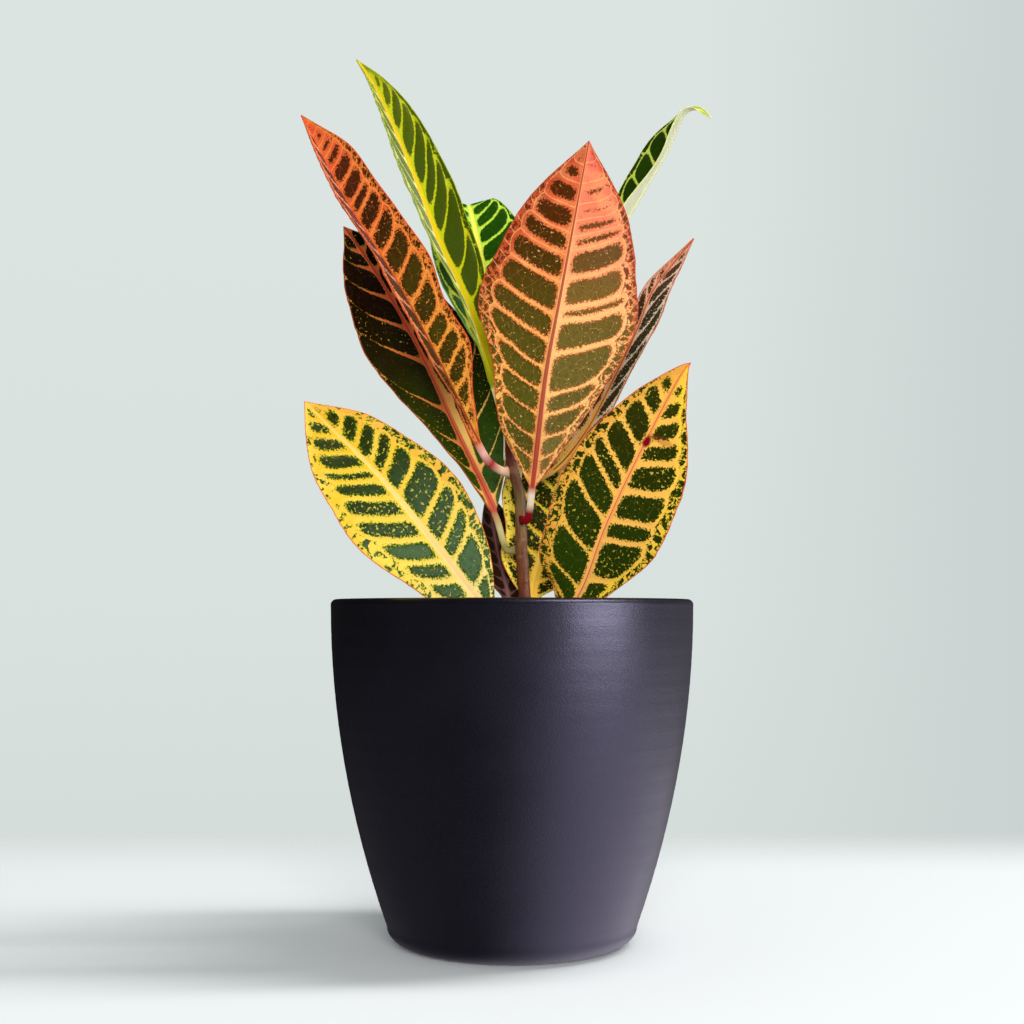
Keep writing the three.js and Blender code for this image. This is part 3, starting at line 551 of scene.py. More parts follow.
def closed_tube(name, rings, first, last, material, fields=()):
    """A closed mesh from a grid of rings, each joined to the next by quads, with a point at either end.

    fields: (name, values on the grid). The end points take the mean of the ring beside them.
    """
    rows, around = rings.shape[:2]
    i, j = np.meshgrid(np.arange(rows - 1), np.arange(around), indexing="ij")
    k = (j + 1) % around
    quads = np.stack([i * around + j, i * around + k, (i + 1) * around + k, (i + 1) * around + j], -1)
    j = np.arange(around)
    k = (j + 1) % around
    bottom, top = rows * around, rows * around + 1
    low_cap = np.stack([np.full(around, bottom), k, j], -1)
    high_row = (rows - 1) * around
    high_cap = np.stack([np.full(around, top), high_row + j, high_row + k], -1)
    points = np.vstack([rings.reshape(-1, 3), first, last])
    corners = np.concatenate([quads.ravel(), low_cap.ravel(), high_cap.ravel()])
    sizes = np.concatenate([np.full((rows - 1) * around, 4), np.full(2 * around, 3)])
    flat = [(key, np.vstack([grid.reshape(-1, 3), grid[0].mean(0), grid[-1].mean(0)]))
            for key, grid in fields]
    return mesh_piece(name, points, corners, sizes, material, flat)


def stand_for(piece, node):
    """Puts a finished piece in a solid's place: it moves with the body and takes the solid's finish slot."""
    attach(piece, BODY)
    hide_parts(node)


# Materials

class NodeWork:
    """Builds a node tree, node by node."""

    def __init__(self, owner):
        owner.use_nodes = True
        self.tree = owner.node_tree
        self.tree.nodes.clear()

    def feed(self, socket, value):
        """Links a socket to another one, or sets its value."""
        if isinstance(value, bpy.types.NodeSocket):
            self.tree.links.new(value, socket)
        elif isinstance(value, tuple) and len(value) == 3 and len(socket.default_value) == 4:
            socket.default_value = (*value, 1)
        else:
            socket.default_value = value

    def node(self, kind, inputs=(), **properties):
        """A new node with its properties set and its inputs, by name or number, fed."""
        node = self.tree.nodes.new("ShaderNode" + kind)
        for name, value in properties.items():
            setattr(node, name, value)
        for key, value in dict(inputs).items():
            self.feed(node.inputs[key], value)
        return node

    def sum(self, operation, *values):
        """What a Math node makes of the values."""
        return self.node("Math", enumerate(values), operation=operation).outputs[0]

    def plus(self, first, second):
        return self.sum("ADD", first, second)

    def times(self, first, second):
        return self.sum("MULTIPLY", first, second)

    def line(self, value, slope, start):
        """The value times a slope, plus a start."""
        return self.sum("MULTIPLY_ADD", value, slope, start)

    def step(self, value, low, high, to_low=0.0, to_high=1.0, kind="SMOOTHSTEP"):
        """Carries a value from one span over to another, by a smooth step or a straight line."""
        spans = enumerate((value, low, high, to_low, to_high))
        return self.node("MapRange", spans, interpolation_type=kind).outputs[0]

    def mix(self, share, first, second):
        """The first colour at share 0, the second at share 1."""
        return self.node("Mix", {0: share, 6: first, 7: second}, data_type="RGBA").outputs[2]

    def ramp(self, value, colours, places=None):
        """Colours at even steps from 0 to 1, or at places of their own."""
        node = self.node("ValToRGB", {0: value})
        stops = node.color_ramp.elements
        while len(stops) < len(colours):
            stops.new(0.5)
        for i, colour in enumerate(colours):
            stops[i].position = places[i] if places else i / (len(colours) - 1)
            stops[i].color = (*colour, 1)
        return node.outputs[0]

    def parts(self, vector):
        """The three numbers of a vector."""
        return self.node("SeparateXYZ", {0: vector}).outputs

    def field(self, name):
        """A mesh attribute: the whole vector, then its three numbers."""
        vector = self.node("Attribute", attribute_name=name).outputs["Vector"]
        return vector, *self.parts(vector)

    def place(self, source=None, shift=(0.0, 0.0, 0.0), scale=(1.0, 1.0, 1.0)):
        """Object coordinates, or another source, moved and scaled."""
        if source is None:
            source = self.node("TexCoord").outputs["Object"]
        return self.node("Mapping", {"Vector": source, "Location": shift, "Scale": scale}).outputs[0]

    def noise(self, where, scale, detail=2.0, roughness=0.5, flat=False):
        """A cloudy pattern from 0 to 1, in two or three dimensions."""
        inputs = {"Vector": where, "Scale": scale, "Detail": detail, "Roughness": roughness}
        return self.node("TexNoise", inputs, noise_dimensions="2D" if flat else "3D").outputs["Fac"]

    def cells(self, where, scale, feature="DISTANCE_TO_EDGE", flat=False):
        """Random cells: the distance to their edges or, with F1, to their centres."""
        node = self.node("TexVoronoi", {"Vector": where, "Scale": scale}, feature=feature,
                         voronoi_dimensions="2D" if flat else "3D")
        return node.outputs["Distance"]

    def spot(self, source, centre, reach):
        """How far places are from a centre, counted so that it is 1 at the given reach each way."""
        shift = (-centre[0] / reach[0], -centre[1] / reach[1], 0.0)
        near = self.place(source, shift, (1 / reach[0], 1 / reach[1], 0.0))
        return self.node("VectorMath", {0: near}, operation="LENGTH").outputs["Value"]


class Paintwork(NodeWork):
    """Builds one procedural material."""

    def __init__(self, name):
        self.material = bpy.data.materials.new(name)
        super().__init__(self.material)
        self.shader = self.node("BsdfPrincipled")
        self.node("OutputMaterial", {0: self.shader.outputs[0]})

    def set(self, **values):
        """Sets the shader's own sockets, such as Base_Color=..."""
        for name, value in values.items():
            self.feed(self.shader.inputs[name.replace("_", " ")], value)

    def bump(self, height, distance, strength):
        """Lets light fall as if the surface rose and sank with a pattern."""
        inputs = {"Height": height, "Distance": distance, "Strength": strength}
        self.set(Normal=self.node("Bump", inputs).outputs[0])


def glazed_pot(settings):
    """Dark matt glaze: charcoal with a violet tint, fine speckle, faint pits and slightly uneven sheen."""
    p = Paintwork("charcoal_glaze")
    where = p.place()
    cloud = p.noise(where, 38, 3)
    speck = p.noise(where, 1700, 1)
    pits = p.cells(where, 420, "F1")
    tint = p.mix(p.step(cloud, 0.35, 0.7), shade(settings.glaze), shade(settings.glaze, 1.35))
    tint = p.mix(p.step(speck, 0.6, 0.72, 0, 0.5), tint, shade(settings.glaze, 2.5))
    rough = p.step(cloud, 0.2, 0.8, settings.glaze_roughness - 0.04, settings.glaze_roughness + 0.05)
    p.set(Base_Color=tint, Roughness=rough, Specular_IOR_Level=0.5, Specular_Tint=paint(222, 217, 255))
    grain = p.plus(p.times(speck, 0.9), p.step(pits, 0.02, 0.16, 0, 0.3))
    grain = p.plus(grain, p.times(p.noise(where, 260, 2), 0.6))
    p.bump(grain, 0.00012, 0.5)
    return p.material


def damp_soil(settings):
    """Peat: dark brown crumbs with paler fibres."""
    p = Paintwork("potting_soil")
    where = p.place()
    grain = p.noise(where, 500, 4, 0.65)
    clods = p.cells(where, 260, "F1")
    fibre = p.noise(p.place(scale=(1, 0.12, 1)), 1500, 2)
    soil = p.mix(p.step(grain, 0.3, 0.7), shade(settings.soil_colour, 0.4), shade(settings.soil_colour))
    soil = p.mix(p.step(fibre, 0.66, 0.74, 0, 0.6), soil, paint(126, 92, 60))
    p.set(Base_Color=soil, Roughness=0.95, Specular_IOR_Level=0.25)
    p.bump(p.plus(grain, p.step(clods, 0, 0.6)), 0.0006, 0.8)
    return p.material


def young_bark(settings):
    """Thin bark: brown-maroon above, grey-green and then pinkish brown below, with fine lengthwise lines."""
    p = Paintwork("young_bark")
    _, along, _, scar = p.field("bark")
    bark = p.ramp(along, paints([(92, 44, 26), (100, 48, 28), (112, 58, 32), (116, 70, 40), (120, 92, 52),
                                 (102, 80, 42), (88, 36, 22), (90, 38, 24), (94, 84, 36)]))
    lines = p.noise(p.place(scale=(1, 1, 0.08)), 1300, 3)
    blotch = p.noise(p.place(), 160, 3)
    bark = p.mix(p.step(lines, 0.35, 0.7, 0.0, 0.55), bark, shade(settings.bark_colour, 0.45))
    bark = p.mix(p.step(blotch, 0.55, 0.72, 0.0, 0.4), bark, paint(146, 106, 70))
    bark = p.mix(scar, bark, paint(74, 44, 32))
    p.set(Base_Color=bark, Roughness=0.55, Specular_IOR_Level=0.45)
    p.bump(lines, 0.0002, 0.5)
    return p.material


def leaf_finish(name, seed, settings):
    """A croton leaf.

    The mesh carries, in mm, how far each place is inside a cell's edge, and its signed distances from the
    nearest vein, loop and branch, and from the edges of midrib, core line and margin. Cells are dark where
    the first of these, made ragged by noise, is above nought; beyond the loops they are cut up into small
    ones. Flecks, branching fine veins, the thin line inside each vein, the midrib, the margin line and the
    stalk are laid over that in turn.
    """
    leaf = LEAVES[name]
    palette = getattr(settings, name)
    p = Paintwork(name.replace("leaf_", "") + "_leaf")
    flat, _, _, stalk_share = p.field("leaf_flat")
    _, cell, tone, under = p.field("leaf_cells")
    _, vein, loop, branch = p.field("leaf_veins")
    _, along, across, _ = p.field("leaf_place")
    _, rib, core, rim = p.field("leaf_edges")
    where = p.place(flat, (seed * 37.0, seed * 19.0, 0))
    right = p.step(across, -0.03, 0.03)

    broad = p.noise(where, 0.11, 2, flat=True)
    medium = p.noise(where, 0.42, 3, 0.55, flat=True)
    fine = p.noise(where, 1.5, 3, 0.6, flat=True)
    dust = p.noise(where, 2.6, 2, 0.6, flat=True)
    beyond = p.step(loop, -0.15, 0.15)
    grain = leaf["grain"]
    light, dark = [p.mix(right, *[p.ramp(along, paints(side_of(leaf[ground], side))) for side in (0, 1)])
                   for ground in ("light", "dark")]

    reach_left, reach_right = np.broadcast_to(leaf["edge_reach"], 2).tolist()
    depth = p.sum("DIVIDE", rim, p.line(right, reach_right - reach_left, reach_left))
    margin = p.step(p.plus(depth, p.sum("SUBTRACT", medium, 0.5)), 0.2, 1.4, 0.9, 0.0)
    margin = p.times(margin, p.step(along, *leaf["edge_from"]))
    edge = shade(palette.edge)
    edge_left = paint(*leaf["edge_left"]) if "edge_left" in leaf else edge
    light = p.mix(margin, light, p.mix(right, edge_left, edge))
    light = p.mix(p.step(broad, 0.35, 0.7, 0, 0.25), light, shade(palette.vein))
    light = p.mix(p.step(dust, 0.45, 0.75, 0, 0.3 * grain), light, shade(palette.edge, 0.5))

    # Tone deep inside the cells, stronger towards the base; on the left gold leaf it is a painted grey-green
    # sheen.
    if "bloom" in leaf:
        bloom, amount = leaf["bloom"]
        deep = p.step(p.plus(cell, p.line(medium, 2.4, -1.2)), 0.3, 1.3, 0.0, amount)
        dark = p.mix(p.times(deep, p.step(along, 0.75, 0.3)), dark, paint(*bloom))
    dark = p.mix(p.step(tone, 0.0, 1.0, 0.0, 0.4), dark, shade(palette.cell, 0.45))
    dark = p.mix(p.step(medium, 0.4, 0.75, 0.0, 0.35), dark, shade(palette.cell, 0.6))
    dark = p.mix(p.step(dust, 0.42, 0.72, 0.0, 0.5 * grain), dark, p.mix(0.12, dark, light))
    if "fringe_tint" in leaf:
        tinted = p.times(beyond, p.step(along, 0.45, 0.7, 0.0, 0.9))
        dark = p.mix(tinted, dark, paint(*leaf["fringe_tint"]))

    wander = p.node("TexNoise", {"Vector": where, "Scale": 0.35}, noise_dimensions="2D").outputs["Color"]
    bend = p.node("VectorMath", {0: wander, 1: (2.5, 2.5, 0), 2: where}, operation="MULTIPLY_ADD").outputs[0]
    twigs = p.cells(p.place(bend, scale=(1.0, 0.75, 1.0)), 0.3, flat=True)
    twigs = p.times(p.step(twigs, 0.01, 0.05, 1.0, 0.0), p.step(medium, 0.46, 0.6, 0.08, 1.0))
    small = p.cells(bend, 0.95, flat=True)
    small = p.times(p.step(small, 0.0, 0.08, 0.3, 0.0), p.step(fine, 0.45, 0.65, 0.0, 1.0))
    twigs = p.times(p.sum("MAXIMUM", twigs, small), leaf["mesh"])
    dark = p.mix(twigs, dark, p.mix(0.45, dark, light))

    ragged = leaf["ragged"]
    lobes = p.noise(where, 1.0, 1, flat=True)
    nibbles = p.noise(where, 2.0, 0, flat=True)
    uneven = p.plus(p.line(nibbles, ragged * 0.6, -ragged * 0.3), p.line(lobes, ragged * 2.4, -ragged * 1.2))
    size, gap, kept = leaf["fringe"]
    pieces = p.line(p.cells(bend, 1 / size, flat=True), size, -gap)
    left_kept, right_kept = [p.line(along, tip - base, base)
                             for base, tip in np.broadcast_to(kept, (2, 2)).tolist()]
    kept = p.line(right, p.sum("SUBTRACT", right_kept, left_kept), left_kept)
    patches = p.line(p.noise(where, 0.3, 1, flat=True), 20.0, -13.6)
    pieces = p.sum("MINIMUM", pieces, p.line(kept, 7.2, patches))
    reach = p.sum("MINIMUM", cell, p.line(p.sum("SUBTRACT", 1.0, beyond), 50.0, pieces))
    reach = p.plus(reach, uneven)
    ground = inside = p.step(reach, -0.22, 0.25)
    spots = p.noise(p.place(flat, (seed * 3.0, seed * 7.0, 0)), 0.8, 2, 0.5, flat=True)
    if leaf["fleck"]:
        hole = p.step(p.line(tone, 0.12, spots), 0.8 - leaf["fleck"] * 0.5, 0.84 - leaf["fleck"] * 0.5)
        inside = p.times(inside, p.line(hole, -0.65, 1.0))
    if leaf["speck"]:
        speck = p.step(spots, 0.29 + leaf["speck"] * 0.2, 0.27 + leaf["speck"] * 0.2)
        inside = p.sum("MAXIMUM", inside, p.times(speck, p.step(rim, 1.0, 8.0, 1.0, 0.3)))

    fleck = p.mix(0.6, light, paint(*leaf.get("fleck_tint", leaf["vein"])))
    blade = p.mix(inside, p.mix(ground, light, fleck), dark)
    if "halo" in leaf:
        tint, wide, amount = leaf["halo"]
        near = p.step(p.sum("ABSOLUTE", reach), 0.0, wide, amount, 0.0)
        near = p.times(near, p.step(dust, 0.35, 0.6, 0.3, 1.0))
        blade = p.mix(near, blade, paint(*tint))
    wobble = p.line(fine, 0.2, -0.1)
    on_vein = p.line(beyond, 9.0, p.sum("ABSOLUTE", vein))
    thin = p.sum("MINIMUM", on_vein, p.sum("ABSOLUTE", loop))
    if leaf["branches"]:
        thin = p.sum("MINIMUM", thin, p.line(beyond, -9.0, p.plus(p.sum("ABSOLUTE", branch), 9.0)))
    vein_line = p.step(p.plus(thin, wobble), 0.08, 0.3, 0.75 * leaf["lines"], 0.0)
    vein_line = p.times(vein_line, p.step(medium, 0.3, 0.5, 0.45, 1.0))
    blade = p.mix(vein_line, blade, shade(palette.vein))
    blade = p.mix(under, blade, p.mix(leaf["under"], blade, paint(*leaf["pale"])))
    blade = p.mix(p.step(p.plus(rib, wobble), 0.2, -0.2), blade, p.ramp(along, paints(leaf["rib"])))
    blade = p.mix(p.step(core, 0.08, -0.08, 0, 0.85), blade, paint(*leaf["core"]))
    blade = p.mix(p.step(p.plus(rim, wobble), 0.2, 0.5, 0.9, 0.0), blade, shade(palette.line))
    if "blush" in leaf:
        tint, *places = leaf["blush"]
        for centre, far, amount in places:
            near = p.plus(p.spot(flat, centre, far), p.line(medium, 0.8, -0.4))
            blade = p.mix(p.step(near, 0.5, 1.2, amount, 0.0), blade, paint(*tint))
    stalk = p.ramp(stalk_share, paints(leaf["stalk_colours"]))
    whole = p.mix(p.step(stalk_share, 0.93, 1.0), stalk, blade)

    rough = p.step(fine, 0.3, 0.7, settings.leaf_roughness - 0.05, settings.leaf_roughness + 0.06)
    p.set(Base_Color=whole, Roughness=rough, Specular_IOR_Level=0.035 * leaf["gloss"],
          Coat_Weight=settings.leaf_gloss * leaf["gloss"], Coat_Roughness=0.3)
    below = -0.4 - 0.2 * min(1, leaf["under"] / 0.9)
    p.bump(p.plus(p.times(fine, 0.8), p.times(dust, 0.5)), 0.00009, p.line(under, below, 0.6))
    return p.material


# Leaf shape

def leaf_path(leaf):
    """The leaf's midrib: out of the stem's side, then through its spine points."""
    height, turn = leaf["joint"]
    line = np.array(STEM_LINE, float)
    dots, _ = smooth_path(line[:, :3])
    centre = np.array([np.interp(height, dots[:, 2], dots[:, k]) for k in range(3)])
    radius = np.interp(height, line[:, 2], line[:, 3])
    outward = np.array([math.cos(math.radians(turn)), math.sin(math.radians(turn)), 0])
    seat = centre + outward * (radius + 0.4)
    return smooth_path(np.vstack([seat, seat + outward * 2.5, leaf["spine"]]))


def midrib_frames(leaf, settings):
    """Steps along a leaf, from inside the stem to the tip: distances, dots on the midrib, the way on, up and
    to the right there, and the share of the blade, which is 0 all along the stalk."""
    path = leaf_path(leaf)
    total = path[1][-1]
    where = np.linspace(-SUNK, total, int((total + SUNK) / settings.row_step))
    probe = 0.003 * total
    tangent = unit(read_path(path, np.clip(where + probe, -SUNK, total))
                   - read_path(path, np.clip(where - probe, -SUNK, total)))
    b = np.clip((where - leaf["stalk"]) / (total - leaf["stalk"]), 0, 1)
    face = blend(unit(np.array(leaf["face"], float)), smooth_step(b)[:, None])
    normal = unit(face - (face * tangent).sum(1, keepdims=True) * tangent)
    return where, read_path(path, where), tangent, normal, np.cross(tangent, normal), b


def vein_fields(leaf, side, seed, along, out, wide, share):
    """Where each place on one half of the blade lies in the vein pattern, in mm.

    A vein climbs by its lean for each mm out, and by its arch times the fourth power of the share of the
    width. Undoing that gives where the vein through a place leaves the midrib; between two veins this
    counts on by one, so the sine of half a turn per count is nought on each vein. Near the margin each
    vein joins the next in a loop that bulges between them, and beyond the loops there are twice as many.
    Gives the depth inside the nearest cell's edge, signed distances from vein, loop and branch, and a
    random share for each cell.
    """
    # The vein starts, carried on past both ends of the blade
    starts = np.array(side_of(leaf["veins"], side), float)
    first, last = starts[1] - starts[0], starts[-1] - starts[-2]
    starts = np.concatenate([starts[0] - first * np.arange(4, 0, -1), starts,
                             starts[-1] + last * np.arange(1, 8)])
    b = along / along.max()
    slope = from_base(b, side_of(leaf["lean"], side))
    wander = 0.6 * lumps((2 * side - 1) * out, along, seed * 7 + side, 32, 9, 10) * np.minimum(1, share * 2)
    home = along - slope * out - side_of(leaf["arch"], side) * share ** 4 + wander
    count = np.interp(home, starts, np.arange(len(starts)))
    cell = np.floor(count)
    part = count - cell
    pitch = np.diff(starts)[np.clip(cell.astype(int), 0, len(starts) - 2)]
    sine = 1 / np.sqrt(1 + slope ** 2)
    chance = scatter(cell, seed + side)
    to_vein = np.minimum(part, 1 - part) * pitch * sine
    loop = side_of(leaf["loop"], side) + 0.07 * (4 * part * (1 - part)) + 0.07 * (chance - 0.5)
    to_loop = (share - loop) * wide
    band = from_base(b, side_of(leaf["band"], side))
    band = band * (0.85 + 0.3 * chance) * (1 - side_of(leaf["taper"], side) * share)
    by_rib = out - blend(leaf["rib_wide"], b) - from_base(b, side_of(leaf["rib_gap"], side))
    within = soft_lowest(soft_lowest(to_vein, np.abs(to_loop), 0.9), by_rib + band, 0.9)
    beyond = soft_lowest(np.abs(to_loop), (1 - share) * wide, 0.4)
    edge = np.where(to_loop < 0, within - band, beyond - leaf["fringe"][1])
    vein = np.sin(np.pi * count) * pitch * sine / np.pi
    branch = np.sin(2 * np.pi * count + 1 + chance) * pitch / (2 * np.pi)
    return edge, vein, to_loop, branch, chance


def half_leaf(leaf, side, seed, settings, frames):
    """One half of a leaf: its upper and its lower dots, and the fields that its finish reads.

    At a share r of the half-width, a half turns up by fold + cup r, so it goes out by
    (sin(fold + cup r) - sin fold) / cup and up by (cos fold - cos(fold + cup r)) / cup times the
    half-width, plus a wave that grows with r squared. The half-width is a spline through the leaf's
    numbers plus the stalk's own. The blade swells between its veins, thins to a round margin, and is
    keeled under the midrib; the stalk's section is an ellipse.
    """
    where, centre, _, normal, side_way, b = frames
    sign = 2 * side - 1
    widest = max(max(side_of(leaf["halves"], either)) for either in (0, 1))
    inner = np.linspace(0, 1, int(widest / settings.column_step))
    flare = 1 + 0.5 * np.clip(1 - (where + SUNK) / 4, 0, 1) ** 2
    plain = blend((leaf["stalk_half"], 0.15), b) * np.where(b > 0, 1, flare)
    half = np.maximum(even_spline([0, *side_of(leaf["halves"], side), 0], b), 0)
    half = half * (1 + 0.012 * lumps(where, np.zeros_like(where), seed * 11 + side, 26, 6, 8))
    wide = (np.where((b > 0) & (b < 1), half, 0) + plain)[:, None]

    round_off = np.minimum(0.3, 0.35 * wide)
    body = inner * (wide - round_off)
    turn = np.linspace(0, np.pi / 2, 5)[1:]
    out = np.hstack([body, wide - round_off + round_off * np.sin(turn)])
    rounding = np.hstack([np.ones_like(body), np.cos(turn) * np.ones_like(wide)])
    share = out / wide
    grow = np.clip(b / 0.12, 0, 1)[:, None]
    fold = math.radians(side_of(leaf["fold"], side)) * grow
    cup = math.radians(leaf["cup"]) * grow + 1e-6
    turned = fold + cup * share
    reach = (np.sin(turned) - np.sin(fold)) / cup * wide
    height, number = leaf["wave"]
    wave = height * np.sin(2 * np.pi * (number * b + 0.25 * sign))[:, None]
    lift = ((np.cos(fold) - np.cos(turned)) / cup * wide
            + wave * share ** 2 * np.sin(np.pi * b)[:, None])
    local = (normal[:, None] * np.cos(turned)[..., None]
             - sign * side_way[:, None] * np.sin(turned)[..., None])
    base = centre[:, None] + sign * reach[..., None] * side_way[:, None] + lift[..., None] * normal[:, None]

    whole = np.ones_like(out)
    along = np.maximum(where - leaf["stalk"], 0)[:, None] * whole
    edge, vein, loop, branch, tone = vein_fields(leaf, side, seed, along, out, wide, share)
    thin = np.minimum(np.abs(loop), np.abs(np.where(loop < 0, vein, branch)))
    stalkness = (1 - smooth_step(b / 0.06))[:, None]
    b = b[:, None]
    spread = smooth_step(b / 0.05) * smooth_step((1 - b) / 0.03) * np.clip(wide / 6, 0, 1)
    rise = (1 - np.exp(-np.maximum(np.minimum(thin, out), 0) / 1.1)) * settings.quilting
    drift = 0.35 * lumps(sign * out, along, seed * 5 + side, 38, 9, 12) * share ** 2
    mid = (rise + drift) * spread * leaf["relief"]
    thick = settings.blade_thickness * (0.75 + 0.25 * (1 - share))
    rib_wide = blend(leaf["rib_wide"], b)
    keel = ((1.15 * (1 - b) ** 1.3 + 0.12) * np.exp(-(out / (0.75 * rib_wide + 0.25)) ** 2)
            * (1 - np.clip(b - 0.97, 0, 1) / 0.03))
    groove = 0.12 * (1 - b) * np.exp(-(out / 0.6) ** 2)
    oval = np.sqrt(np.clip(1 - share ** 2, 0, 1))
    tall = 0.75 * leaf["stalk_half"] * np.where(where > 0, 1, 0.8)[:, None]
    upper = blend((-thick / 2 * (1 - rounding) - groove, -1.0 + tall * oval), stalkness)
    lower = blend((-thick / 2 - thick / 2 * rounding - keel, -1.0 - tall * oval), stalkness)

    stalk_share = np.clip((where + SUNK) / (leaf["stalk"] + SUNK), 0, 1)[:, None] * whole
    fields = {
        "leaf_cells": (edge, tone, 0 * whole),
        "leaf_veins": (vein, loop, branch),
        "leaf_place": (b * whole, sign * share, 0 * whole),
        "leaf_edges": (out - rib_wide, out - blend(leaf["core_wide"], b), (1 - share) * wide),
        "leaf_flat": (sign * out, along, stalk_share),
    }
    return (base + (mid + upper)[..., None] * local, base + (mid + lower)[..., None] * local,
            {key: np.stack(values, -1) for key, values in fields.items()})


def ring(above, beneath):
    """One way round: over the top from left margin to right margin, and back underneath."""
    (left_top, right_top), (left_low, right_low) = above, beneath
    return np.concatenate([left_top[:, ::-1], right_top[:, 1:], right_low[:, -2::-1], left_low[:, 1:-1]], 1)


def leaf_piece(name, settings):
    """One leaf as a closed loft along its midrib, stalk and blade in one."""
    leaf = LEAVES[name]
    seed = list(LEAVES).index(name) + 1
    frames = midrib_frames(leaf, settings)
    tops, lows, halves = zip(*[half_leaf(leaf, side, seed, settings, frames) for side in (0, 1)])
    fields = []
    for key in halves[0]:
        above = [half[key] for half in halves]
        beneath = [values + (0, 0, 1) for values in above] if key == "leaf_cells" else above
        fields.append((key, ring(above, beneath)))
    rings = ring(tops, lows)
    end = rings[-1].mean(0) + frames[2][-1] * 0.25
    finish = leaf_finish(name, seed, settings)
    stand_for(closed_tube(name + "_blade", rings, rings[0].mean(0), end, finish, fields), name)


# Pot, soil and stem

def pot_outside(settings, z):
    """Outer radius at a height: the rim's, less the taper times (1 - height share) squared."""
    return settings.rim_radius - settings.taper * (1 - z / settings.height) ** 2


def turned_rings(radii, heights, around):
    """A profile turned round Z, as a grid of rings."""
    radii, heights = np.array(radii)[:, None], np.array(heights)[:, None]
    return np.stack([radii * np.cos(around), radii * np.sin(around), heights * np.ones_like(around)], -1)


def pot_piece(settings):
    """The pot as a profile turned round Z.

    Outside: an elliptic foot, then the outer curve up to a round lip, with faint throwing lines; inside: the
    outer curve less the wall, and a flat floor. The underside is hollowed a little.
    """
    lip, foot = settings.lip_round, settings.base_radius
    rows = [(r, HOLLOW * float(smooth_step((30 - r) / 4.0))) for r in (8, 16, 24, 26, 27, 28, 29, 30, 33)]
    for turn in np.radians(np.linspace(0, 90, 14)):
        rows.append((foot + (pot_outside(settings, FOOT_ROUND) - foot) * math.sin(turn),
                     FOOT_ROUND * (1 - math.cos(turn))))
    # Faint throwing lines, kept just inside the solid's surface
    for z in np.linspace(9, settings.height - lip - 0.4, 96):
        throw = 0.05 * math.sin(z * 1.9) + 0.04 * math.sin(z * 0.83 + 1)
        rows.append((pot_outside(settings, z) + throw * 0.4 - 0.04, z))
    outer = settings.rim_radius - lip
    inner = settings.rim_radius - settings.wall + lip
    for middle, low, high in ((outer, 0, 90), (inner, 90, 180)):
        for turn in np.radians(np.linspace(low, high, 9)):
            rows.append((middle + lip * math.cos(turn), settings.height - lip + lip * math.sin(turn)))
    for z in np.linspace(settings.height - 6, 16, 40):
        rows.append((pot_outside(settings, z) - settings.wall, z))
    rows += [(43, POT_FLOOR + 1.5), (41, POT_FLOOR + 0.2), (38, POT_FLOOR), (20, POT_FLOOR)]
    rings = turned_rings(*zip(*rows), full_turn(224))
    piece = closed_tube("glazed_pot", rings, (0, 0, HOLLOW), (0, 0, POT_FLOOR), glazed_pot(settings))
    stand_for(piece, "pot")


def soil_height(x, y):
    """The packed solid's low lumps, with finer crumbs over them, in mm above the soil's level."""
    low = 0.9 * np.sin(0.21 * x + 0.6) * np.cos(0.17 * y - 0.4)
    low = low + 0.5 * np.sin(0.37 * x - 0.29 * y) + 0.4 * np.cos(0.43 * y + 0.11 * x + 1)
    return low + 0.55 * lumps(x, y, 4, 9, 1.4, 40)


def soil_edge(settings, z):
    """The soil's radius at a height: the pot's inside, less a little air."""
    return pot_outside(settings, z) - settings.wall - SOIL_GAP


def soil_piece(settings):
    """Soil: rings up the pot's wall, then inwards over an uneven top that rises a little round the stem."""
    level, finish = settings.soil_level, damp_soil(settings)
    around = full_turn(260)
    bottom = POT_FLOOR + 0.6
    heights = np.linspace(17, level - 3, 20)
    walls = [(20, bottom), (40, bottom)] + [(soil_edge(settings, z), z) for z in heights]
    edge = soil_edge(settings, level)
    rings = list(turned_rings(*zip(*walls), around))
    stem_x = STEM_LINE[0][0]
    for share in np.linspace(1, 0.02, 118):
        x = edge * share * np.cos(around)
        y = edge * share * np.sin(around)
        mound = 1.6 * np.exp(-((x - stem_x) ** 2 + y ** 2) / 60)
        fade = min(1.0, (1 - share) / 0.06 + 0.25)
        rings.append(np.stack([x, y, level + soil_height(x, y) * fade + mound], -1))
    stand_for(closed_tube("soil_bed", np.array(rings), (0, 0, bottom), rings[-1].mean(0), finish), "soil")
    soil_crumbs(settings, edge, finish)


